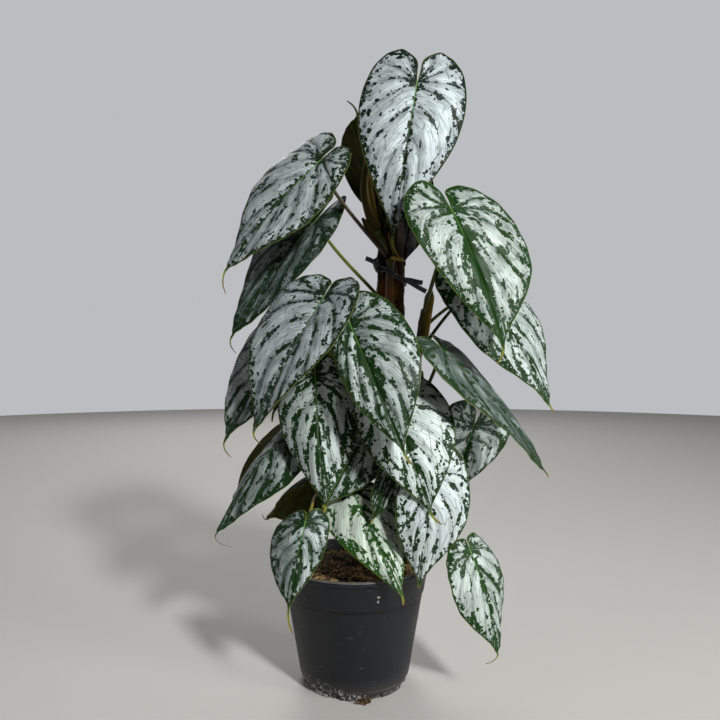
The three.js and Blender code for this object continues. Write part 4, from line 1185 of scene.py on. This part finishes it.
def pole_axis(height):
    """The middle of the pole, which leans a little, at a height."""
    return POLE_FOOT + (POLE_TOP - POLE_FOOT) * (height - POLE_FOOT[2]) / (POLE_TOP[2] - POLE_FOOT[2])


def pole_place(angle, height, lift):
    """A point on the pole's rough face, lifted off it by some mm."""
    rough = POLE_ROUGHNESS * 0.5 * (math.sin(5 * angle + height / 9) + math.sin(3 * angle - height / 6))
    radius = POLE_RADIUS + rough + lift
    return pole_axis(height) + np.array([radius * math.cos(angle), radius * math.sin(angle), 0])


def make_pole():
    """The rough core, and the strands on it, which start and end close to its face."""
    parts = Parts()
    points = []
    for height in np.linspace(POLE_FOOT[2], POLE_TOP[2], POLE_RINGS):
        for side in range(POLE_SIDES):
            angle = 2 * math.pi * side / POLE_SIDES
            lump = noise.noise(Vector((6 * math.cos(angle), 6 * math.sin(angle), height / 7)))
            points.append(pole_place(angle, height, 0.45 * lump - 0.3))
    faces = ring_faces(POLE_RINGS, POLE_SIDES) + end_faces(POLE_RINGS, POLE_SIDES)
    parts.add(np.array(points), faces, tint=(0, 0, 0))
    for _ in range(STRANDS):
        angle, height = random.uniform(0, 2 * math.pi), random.uniform(*STRAND_HEIGHTS)
        length = random.uniform(*STRAND_LENGTHS)
        drift, lift = random.uniform(-0.35, 0.35), random.uniform(0, 0.9)
        t = np.linspace(0, 1, STRAND_STEPS)
        top = min(height + length, POLE_TOP[2] - 1)
        curve = [pole_place(angle + drift * s + 0.12 * math.sin(5 * s), height + (top - height) * s,
                            lift * 4 * s * (1 - s) * random.uniform(0.7, 1.1)) for s in t]
        points, faces = tube(curve, random.uniform(*STRAND_RADII) * (1 - 0.5 * t), 4)
        parts.add(points, faces, tint=(random.uniform(0, 0.9), 0, 0))
    parts.make("coir_pole_fibre", [coir], ["coir_pole"])


make_pole()

# %% [markdown]
# The plant tie.
# A soft flat plastic strap is drawn round pole and stem and knotted, and its ends stick out. A bevelled
# curve would twist on its way, so each stretch is a flat section with rounded edges, swept along a curve
# with its width held upright.

# %% A strap with rounded edges
TIE_WIDTH = 4.0
TIE_THICKNESS = 1.0
TIE_CORNER = 0.42


def strap(centres, up, looped=False):
    """A flat strap with rounded edges along a line of points; up is the way its width lies."""
    centres, up = np.asarray(centres, float), np.array(up)
    runs = np.roll(centres, -1, 0) - np.roll(centres, 1, 0) if looped else np.gradient(centres, axis=0)
    corner = TIE_THICKNESS * TIE_CORNER
    section = []
    for side_x, side_y, start in ((1, 1, 0), (-1, 1, 90), (-1, -1, 180), (1, -1, 270)):
        for turn in (0, 30, 60, 90):
            angle = math.radians(start + turn)
            section.append((side_x * (TIE_WIDTH / 2 - corner) + corner * math.cos(angle),
                            side_y * (TIE_THICKNESS / 2 - corner) + corner * math.sin(angle)))
    points = []
    for centre, run in zip(centres, map(unit, runs)):
        wide = unit(up - run * (up @ run))
        thick = np.cross(run, wide)
        points += [centre + wide * x + thick * y for x, y in section]
    rings, sides = len(centres), len(section)
    faces = ring_faces(rings, sides, looped=looped) + ([] if looped else end_faces(rings, sides))
    return np.array(points), faces


print("faces of a short strap:", len(strap([(0, 0, 0), (1, 0, 0), (2, 0, 0)], (0, 0, 1))[1]))

# %% Plant tie
TIE_HEIGHT = 329
TIE_SLOPE = -0.5
TIE_SLACK = 0.9
TIE_STEPS = 96
TIE_END_STEPS = 24
STEM_AT_TIE = (28.1, -13.8, 3.2)
TIE_ENDS = [
    [(34, -11.5, 327), (42, -15.5, 323), (50, -17, 318), (57, -18, 314)],
    [(38.5, -5.5, 325), (44, -8, 324.5), (50, -9, 323), (55, -9, 322)],
    [(20, -8, 335), (15, -10.5, 339), (9, -9, 342)],
    [(17.5, -7.5, 341), (15.5, -12.8, 338.5), (17.2, -13.2, 334.5), (20, -8.5, 332)],
]


def tie_plastic():
    """Soft dark grey PVC, faintly clouded."""
    material, tree = new_material("soft_pvc_strap")
    place = add(tree, "TexCoord").outputs["Object"]
    fine = add(tree, "TexNoise", Vector=place, Scale=1 / (1.2 * MM), Detail=2)
    return set_shader(material, Base_Color=add(tree, COLOUR_MIX, fine, "#22252a", "#474b52"), Roughness=0.38)


def make_tie():
    """The loop, held off pole and stem by its slack, and the ends of its knot."""
    parts = Parts()
    pole_x, pole_y, _ = pole_axis(TIE_HEIGHT)
    rounds = ((pole_x, pole_y, POLE_RADIUS + POLE_ROUGHNESS), STEM_AT_TIE)
    loop = []
    for angle in np.linspace(0, 2 * math.pi, TIE_STEPS, endpoint=False):
        out_x, out_y = math.cos(angle), math.sin(angle)
        x, y, radius = max(rounds, key=lambda circle: circle[0] * out_x + circle[1] * out_y + circle[2])
        radius += TIE_SLACK + TIE_THICKNESS / 2
        x, y = x + radius * out_x, y + radius * out_y
        loop.append((x, y, TIE_HEIGHT + TIE_SLOPE * (x - pole_x)))
    parts.add(*strap(loop, (0, 0, 1), looped=True))
    for end in TIE_ENDS:
        parts.add(*strap(stem_curve(end, np.linspace(0, 1, TIE_END_STEPS)), (0, -0.5, 1)))
    parts.make("plant_tie_strap", [tie_plastic()], ["plant_tie"])


make_tie()

# %% [markdown]
# The pot.
# A nursery pot is injection moulded from recycled black polypropylene: thin, matt to satin, with a
# collar band, a rolled lip and a stepped foot. Its profile is turned round the axis, and the drain slots
# are cut with a Boolean, as they are in the imported model. The finish is nearly black, and what makes it
# read as used plastic is on it: dust and grit low down, fine pale threads, rubbed edges and two scuffs.
# The pale line round the lip is rubbed wear and a painted highlight, and a dark line under the band is
# painted shade.

# %% Pot finish
POT_HEIGHT = 97
FOOT_HEIGHT = 6.5
BAND_HEIGHT = 73
SCUFFS = [(18.0, -55.2, 84.3), (17.6, -54.8, 80.9)]
SCUFF_REACH = 2.6
GRIT = 1.7
GRIT_TOP = 22
DUST_TOP = 18
THREAD_TOP = 20
THREAD_SPACING = 7


def moulded_polypropylene():
    """Black pot plastic: satin, dusty, gritty and streaked with threads low down, scuffed on its band."""
    material, tree = new_material("black_polypropylene")
    place = add(tree, "TexCoord").outputs["Object"]
    aside, _, height = add(tree, "SeparateXYZ", place).outputs
    fine = add(tree, "TexNoise", Vector=place, Scale=1 / (1.0 * MM), Detail=3)
    cloud = add(tree, "TexNoise", Vector=place, Scale=1 / (22 * MM), Detail=4)
    smudge_grid = add(tree, STRETCH, place, (1 / (9 * MM), 1 / (9 * MM), 1 / (3 * MM)))
    smudge = add(tree, "TexNoise", Vector=smudge_grid, Scale=1, Detail=4)
    left_more = add(tree, "MapRange", aside, -35 * MM, 25 * MM, 0.2, -0.22)
    # Grit clings to the foot in clumps, and more on the left
    strewn = add(tree, STRETCH_PLUS, fine.outputs["Color"], (2 * GRIT * MM,) * 3, place)
    grit = add(tree, "TexVoronoi", Vector=strewn, Scale=1 / (GRIT * MM))
    grit_draw = add(tree, "SeparateColor", grit.outputs["Color"])
    grit_level = add(tree, "MapRange", height, 0, GRIT_TOP * MM, -0.34, -1.3)
    grit_size = add(tree, PLUS, grit_draw, add(tree, PLUS, grit_level, left_more))
    clumped = add(tree, TIMES_PLUS, cloud, 1.4, grit_size)
    grit_field = add(tree, MINUS, clumped, add(tree, PLUS, grit, 0.7))
    on_grit = add(tree, "MapRange", grit_field, -0.02, 0.03, 0, 0.9)
    # Threads of dried root and lime, thinner the higher they are
    thread = add(tree, "TexNoise", Vector=place, Scale=1 / (THREAD_SPACING * MM), Detail=1)
    off_thread = add(tree, NO_SIGN, add(tree, MINUS, thread, 0.5))
    thread_level = add(tree, ("MapRange", {"clamp": False}), height, 0, THREAD_TOP * MM, -0.002, -0.05)
    thread_room = add(tree, TIMES_PLUS, left_more, 0.06, add(tree, TIMES_PLUS, smudge, 0.05, thread_level))
    on_thread = add(tree, "MapRange", add(tree, MINUS, thread_room, off_thread), -0.003, 0.003, 0, 0.75)
    # Scuffs on the band and faint smudges
    from_scuffs = [add(tree, DISTANCE, place, tuple(v * MM for v in scuff)) for scuff in SCUFFS]
    scuff_reach = add(tree, "MapRange", add(tree, SMALLER, *from_scuffs), 0, SCUFF_REACH * MM, 0.22, -0.2)
    on_scuff = add(tree, "MapRange", add(tree, PLUS, scuff_reach, fine), 0.6, 0.66, 0, 0.8)
    on_smudge = add(tree, "MapRange", smudge, 0.66, 0.8, 0, 0.15)
    # Dust low down, a rubbed edge at the foot, rubbed wear and a painted highlight at the lip, and painted
    # shade as a dark line under the band
    dust = add(tree, TIMES, add(tree, "MapRange", height, 0, DUST_TOP * MM, 0.35, 0), fine)
    on_foot, lip_wear_and_highlight, painted_band_shade = (
        add(tree, NEAR, height, level * MM, reach * MM)
        for level, reach in ((FOOT_HEIGHT + 0.6, 0.7), (POT_HEIGHT - 0.3, 0.7), (BAND_HEIGHT - 0.9, 1.0)))
    # Pale lines: dust at the foot, and rubbed wear with a painted highlight at the lip
    worn_edges_and_lip_highlight = add(tree, TIMES, add(tree, LARGER, on_foot, lip_wear_and_highlight), fine)
    colour = add(tree, COLOUR_MIX, cloud, "#090b0f", "#13171d")
    colour = add(tree, COLOUR_MIX, add(tree, LARGER, dust, worn_edges_and_lip_highlight), colour, "#76726a")
    # Painted shade: a near black line under the band
    colour = add(tree, COLOUR_MIX, painted_band_shade, colour, "#020202")
    pale_mark = on_smudge
    for mark in (on_thread, on_grit, on_scuff):
        pale_mark = add(tree, LARGER, pale_mark, mark)
    return set_shader(material, Base_Color=add(tree, COLOUR_MIX, pale_mark, colour, "#b4b1aa"),
                      Specular_IOR_Level=0.36,
                      Roughness=add(tree, "MapRange", cloud, 0.3, 0.7, 0.46, 0.56),
                      Normal=add(tree, "Bump", Strength=0.12, Distance=0.1 * MM, Height=fine))


pot_plastic = moulded_polypropylene()
print("nodes in the pot's finish:", len(pot_plastic.node_tree.nodes))

# %% [markdown]
# The pot's form is a turned profile rather than a modified cylinder, since every step of a moulded pot
# is in its profile. Its corners are rounded by less than a millimetre, and that is what catches light.

# %% Rounded and turned profiles
def rounded(profile, reach, steps=3):
    """The profile with each corner between two stretches replaced by a small curve."""
    made = [profile[0]]
    for before, corner, after in zip(profile[:-2], profile[1:-1], profile[2:]):
        before, corner, after = (np.array(p, float) for p in (before, corner, after))
        near = min(reach, 0.4 * np.linalg.norm(before - corner), 0.4 * np.linalg.norm(after - corner))
        start, end = corner + unit(before - corner) * near, corner + unit(after - corner) * near
        for t in np.linspace(0, 1, steps + 1):
            made.append(tuple((1 - t) ** 2 * start + 2 * t * (1 - t) * corner + t ** 2 * end))
    return made + [profile[-1]]


def turned(profile, segments):
    """A closed body turned from a profile that starts and ends on the axis."""
    inner = profile[1:-1]
    turns = [2 * math.pi * k / segments for k in range(segments)]
    points = [(0, 0, profile[0][1])]
    points += [(radius * math.cos(turn), radius * math.sin(turn), height)
               for radius, height in inner for turn in turns]
    points.append((0, 0, profile[-1][1]))
    top = 1 + (len(inner) - 1) * segments
    faces = [[0, 1 + (k + 1) % segments, 1 + k] for k in range(segments)]
    faces += ring_faces(len(inner), segments, first=1)
    faces += [[len(points) - 1, top + k, top + (k + 1) % segments] for k in range(segments)]
    return np.array(points, float), faces


print("points of a small turned cone:", len(turned([(0, 0), (1, 0), (0, 1)], 6)[0]))

# %% Pot
POT_BASE_RADIUS = 43.3
POT_WALL_SLOPE = 0.17
POT_WALL = 1.4
POT_FLOOR = 2.0
POT_SEGMENTS = 192
FOOT_STEP = 1.6
CHANNEL_HEIGHT = 3
CHANNEL_INNER = 22
CHANNEL_OUTER = 33
BAND_STEP = 0.9
LIP_HEIGHT = 5
LIP_STEP = 1.3
STEP_RISE = 0.8
EDGE_ROUND = 0.8
DRAIN_COUNT = 8
DRAIN_SIZE = (7, 11, 6.4)


def wall_radius(height):
    """The outer radius of the pot's sloping wall under the band."""
    return POT_BASE_RADIUS + POT_WALL_SLOPE * height


def make_pot():
    """The shell, from the middle of its under side round the lip to the middle of its floor, then cut."""
    floor_top = FOOT_HEIGHT + POT_FLOOR
    lip_start = POT_HEIGHT - LIP_HEIGHT
    foot, band = wall_radius(FOOT_HEIGHT), wall_radius(BAND_HEIGHT)
    lip = wall_radius(POT_HEIGHT) + BAND_STEP + LIP_STEP
    inner_top = wall_radius(POT_HEIGHT) + BAND_STEP - POT_WALL
    profile = [
        (0, 0), (CHANNEL_INNER, 0), (CHANNEL_INNER + 1, CHANNEL_HEIGHT), (CHANNEL_OUTER, CHANNEL_HEIGHT),
        (CHANNEL_OUTER + 1, 0), (POT_BASE_RADIUS - FOOT_STEP, 0),
        (foot - FOOT_STEP, FOOT_HEIGHT), (foot, FOOT_HEIGHT + STEP_RISE),
        (band, BAND_HEIGHT), (band + BAND_STEP, BAND_HEIGHT + STEP_RISE),
        (wall_radius(lip_start) + BAND_STEP, lip_start), (lip, lip_start + 1),
        (lip, POT_HEIGHT - 1), (lip - 1, POT_HEIGHT),
        (inner_top, POT_HEIGHT), (inner_top - 0.5, POT_HEIGHT - 1),
        (band - POT_WALL, BAND_HEIGHT - 2),
        (wall_radius(floor_top) - POT_WALL, floor_top), (0, floor_top),
    ]
    points, faces = turned(rounded(profile, EDGE_ROUND), POT_SEGMENTS)
    made = make_piece("pot_shell", points, faces, [pot_plastic], ["pot"], sharp=35)
    for k in range(DRAIN_COUNT):
        bpy.ops.mesh.primitive_cube_add(size=1)
        cutter = bpy.context.object
        cutter.scale = Vector(DRAIN_SIZE) * MM
        angle = 2 * math.pi * (k + 0.5) / DRAIN_COUNT
        cutter.location = Vector((math.cos(angle), math.sin(angle), 0)) * POT_BASE_RADIUS * MM
        cutter.rotation_euler = (0, 0, angle)
        cut = made.modifiers.new("slot", "BOOLEAN")
        cut.operation, cut.solver, cut.object = "DIFFERENCE", "EXACT", cutter
        bpy.context.view_layer.objects.active = made
        bpy.ops.object.modifier_apply(modifier=cut.name)
        bpy.data.objects.remove(cutter)
    return made


pot = make_pot()
print("pot faces:", len(pot.data.polygons))

# %% [markdown]
# The potting mix.
# Bark chips and coir dust. The bed is a lumpy dark surface, and chips and fibres of 1 to 4 mm lie on it
# as small solids, since they are what the eye reads as soil.

# %% Finish of the potting mix
def bark_mix():
    """Bark and fibre: each chip has its own brown, from near black to golden."""
    material, tree = new_material("bark_and_coir_mix")
    tint = add(tree, ("Attribute", {"attribute_name": "tint"})).outputs["Vector"]
    place = add(tree, "TexCoord").outputs["Object"]
    grain = add(tree, "TexNoise", Vector=place, Scale=1 / (0.8 * MM), Detail=3)
    dark = add(tree, COLOUR_MIX, grain, "#0d0805", "#33210f")
    light = add(tree, COLOUR_MIX, grain, "#8a6428", "#e0bd7c")
    colour = add(tree, COLOUR_MIX, add(tree, "SeparateXYZ", tint), dark, light)
    return set_shader(material, Base_Color=colour, Roughness=0.9,
                      Normal=add(tree, "Bump", Strength=0.6, Distance=0.3 * MM, Height=grain))


mix_finish = bark_mix()
print("nodes in the mix's finish:", len(mix_finish.node_tree.nodes))

# %% The bed of the mix
MIX_EDGE_HEIGHT = 86
MIX_HEAP = 6
MIX_BUMP = 1.6
MIX_RADIUS = wall_radius(MIX_EDGE_HEIGHT) - POT_WALL - CLEARANCE
MIX_RINGS = 44
MIX_SEGMENTS = 150


def ripple(first, second):
    """Uneven waves between -1 and 1."""
    return 0.5 * (math.sin(first + 1.7 * math.sin(second)) + math.sin(1.3 * second - 0.6 * first))


def mix_height(x, y):
    """The height of the bed, which is heaped in the middle and waved."""
    share = math.hypot(x, y) / MIX_RADIUS
    return MIX_EDGE_HEIGHT + MIX_HEAP * (1 - share * share) + MIX_BUMP * ripple(x / 4.5, y / 5.5)


def add_bed(parts):
    """The heaped, lumpy body of the mix."""
    low = FOOT_HEIGHT + POT_FLOOR + CLEARANCE
    profile = [(0, low), (wall_radius(low) - POT_WALL - CLEARANCE, low)]
    profile += [(MIX_RADIUS * (1 - ring / MIX_RINGS), MIX_EDGE_HEIGHT) for ring in range(MIX_RINGS)]
    points, faces = turned(profile + [(0, MIX_EDGE_HEIGHT)], MIX_SEGMENTS)
    top = points[:, 2] > low + 1
    points[top, 2] = [mix_height(x, y) + 0.7 * noise.noise(Vector((x / 1.6, y / 1.6, 3)))
                      for x, y in points[top, :2]]
    parts.add(points, faces, tint=(0.08, 0, 0))


print("height of the bed in the middle:", round(mix_height(0, 0), 1), "mm")

# %% Chips, crumbs and fibres
CHIPS = 2600
CHIP_CORNERS = np.array([(x, y, z) for x in (-1, 1) for y in (-1, 1) for z in (-1, 1)], float)
CHIP_FACES = [[0, 1, 3, 2], [4, 6, 7, 5], [0, 4, 5, 1], [2, 3, 7, 6], [0, 2, 6, 4], [1, 5, 7, 3]]
CHIP_TURNS = ((0, -0.5, -0.5), (6.3, 0.5, 0.5))
CRUMBS = 44
CRUMB_PLACE = (8, -45)
FIBRES = 420
FIBRE_STEPS = 6
FIBRE_LENGTHS = (3, 9)
FIBRE_RADII = (0.12, 0.25)


def turn_matrix(angles):
    """The turn by the last angle about x, then by the second about y, then by the first about z."""
    a, b, c = angles
    about_z = np.array([[math.cos(a), -math.sin(a), 0], [math.sin(a), math.cos(a), 0], [0, 0, 1]])
    about_y = np.array([[math.cos(b), 0, math.sin(b)], [0, 1, 0], [-math.sin(b), 0, math.cos(b)]])
    about_x = np.array([[1, 0, 0], [0, math.cos(c), -math.sin(c)], [0, math.sin(c), math.cos(c)]])
    return about_z @ about_y @ about_x


def place_on_mix(share):
    """A random place on the bed, evenly spread over the middle share of its area."""
    radius, angle = MIX_RADIUS * math.sqrt(random.uniform(0, share)), random.uniform(0, 2 * math.pi)
    return radius * math.cos(angle), radius * math.sin(angle)


def add_chip(parts):
    """A chip of bark on the bed; light ones lie more on the right."""
    x, y = place_on_mix(0.97)
    size = random.uniform(0.35, 0.9) * np.array([random.uniform(0.9, 2.8), random.uniform(0.5, 1.0), 0.5])
    corners = CHIP_CORNERS * size * random.uniform(0.6, 1.1, (8, 3))
    turn = turn_matrix(random.uniform(*CHIP_TURNS))
    place = np.array([x, y, mix_height(x, y) + random.uniform(0, 0.9)])
    light = random.uniform(0, 1) < 0.45 + 0.25 * x / MIX_RADIUS
    tint = random.uniform(0.55, 1) if light else random.uniform(0, 0.2)
    parts.add(corners @ turn.T + place, CHIP_FACES, tint=(tint, 0, 0))


def add_crumb(parts):
    """A crumb of mix that fell out of a drain slot and lies at the pot's foot."""
    size = random.uniform(0.4, 1.0) * np.array([random.uniform(0.8, 2.4), 0.8, 0.6])
    turn = turn_matrix(random.uniform(*CHIP_TURNS))
    corners = (CHIP_CORNERS * size * random.uniform(0.6, 1.1, (8, 3))) @ turn.T
    place = np.array([CRUMB_PLACE[0] + random.normal(0, 2.4), CRUMB_PLACE[1] + random.normal(0, 1.0), 0])
    place[2] = 0.1 - corners[:, 2].min() + random.uniform(0, 2.6)
    parts.add(corners + place, CHIP_FACES, tint=(random.uniform(0, 0.3), 0, 0))


def add_fibre(parts):
    """A bent fibre on the bed, kept inside the pot's wall."""
    x, y = place_on_mix(0.93)
    heading, length = random.uniform(0, 6.3), random.uniform(*FIBRE_LENGTHS)
    curl = random.uniform(-0.6, 0.6)
    curve = []
    for t in np.linspace(0, 1, FIBRE_STEPS):
        turn = heading + curl * t
        end_x, end_y = x + length * t * math.cos(turn), y + length * t * math.sin(turn)
        inside = min(1, (MIX_RADIUS - 0.6) / max(1e-6, math.hypot(end_x, end_y)))
        end_x, end_y = end_x * inside, end_y * inside
        curve.append((end_x, end_y, mix_height(end_x, end_y) + 0.5 + 1.6 * t * (1 - t)))
    points, faces = tube(curve, random.uniform(*FIBRE_RADII), 4)
    parts.add(points, faces, tint=(random.uniform(0.4, 1), 0, 0))


print("small solids in the mix:", CHIPS + CRUMBS + FIBRES)

# %% Make the mix
def make_mix():
    """The bed, then what lies on it and at the pot's foot."""
    parts = Parts()
    add_bed(parts)
    for add_one, count in ((add_chip, CHIPS), (add_crumb, CRUMBS), (add_fibre, FIBRES)):
        for _ in range(count):
            add_one(parts)
    parts.make("potting_mix_bed", [mix_finish], ["potting_mix"], sharp=25)


make_mix()

# %% [markdown]
# Last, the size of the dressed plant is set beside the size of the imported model.

# %% Write the sizes and finish
def corners(box):
    return [[float(value) for value in corner] for corner in box]
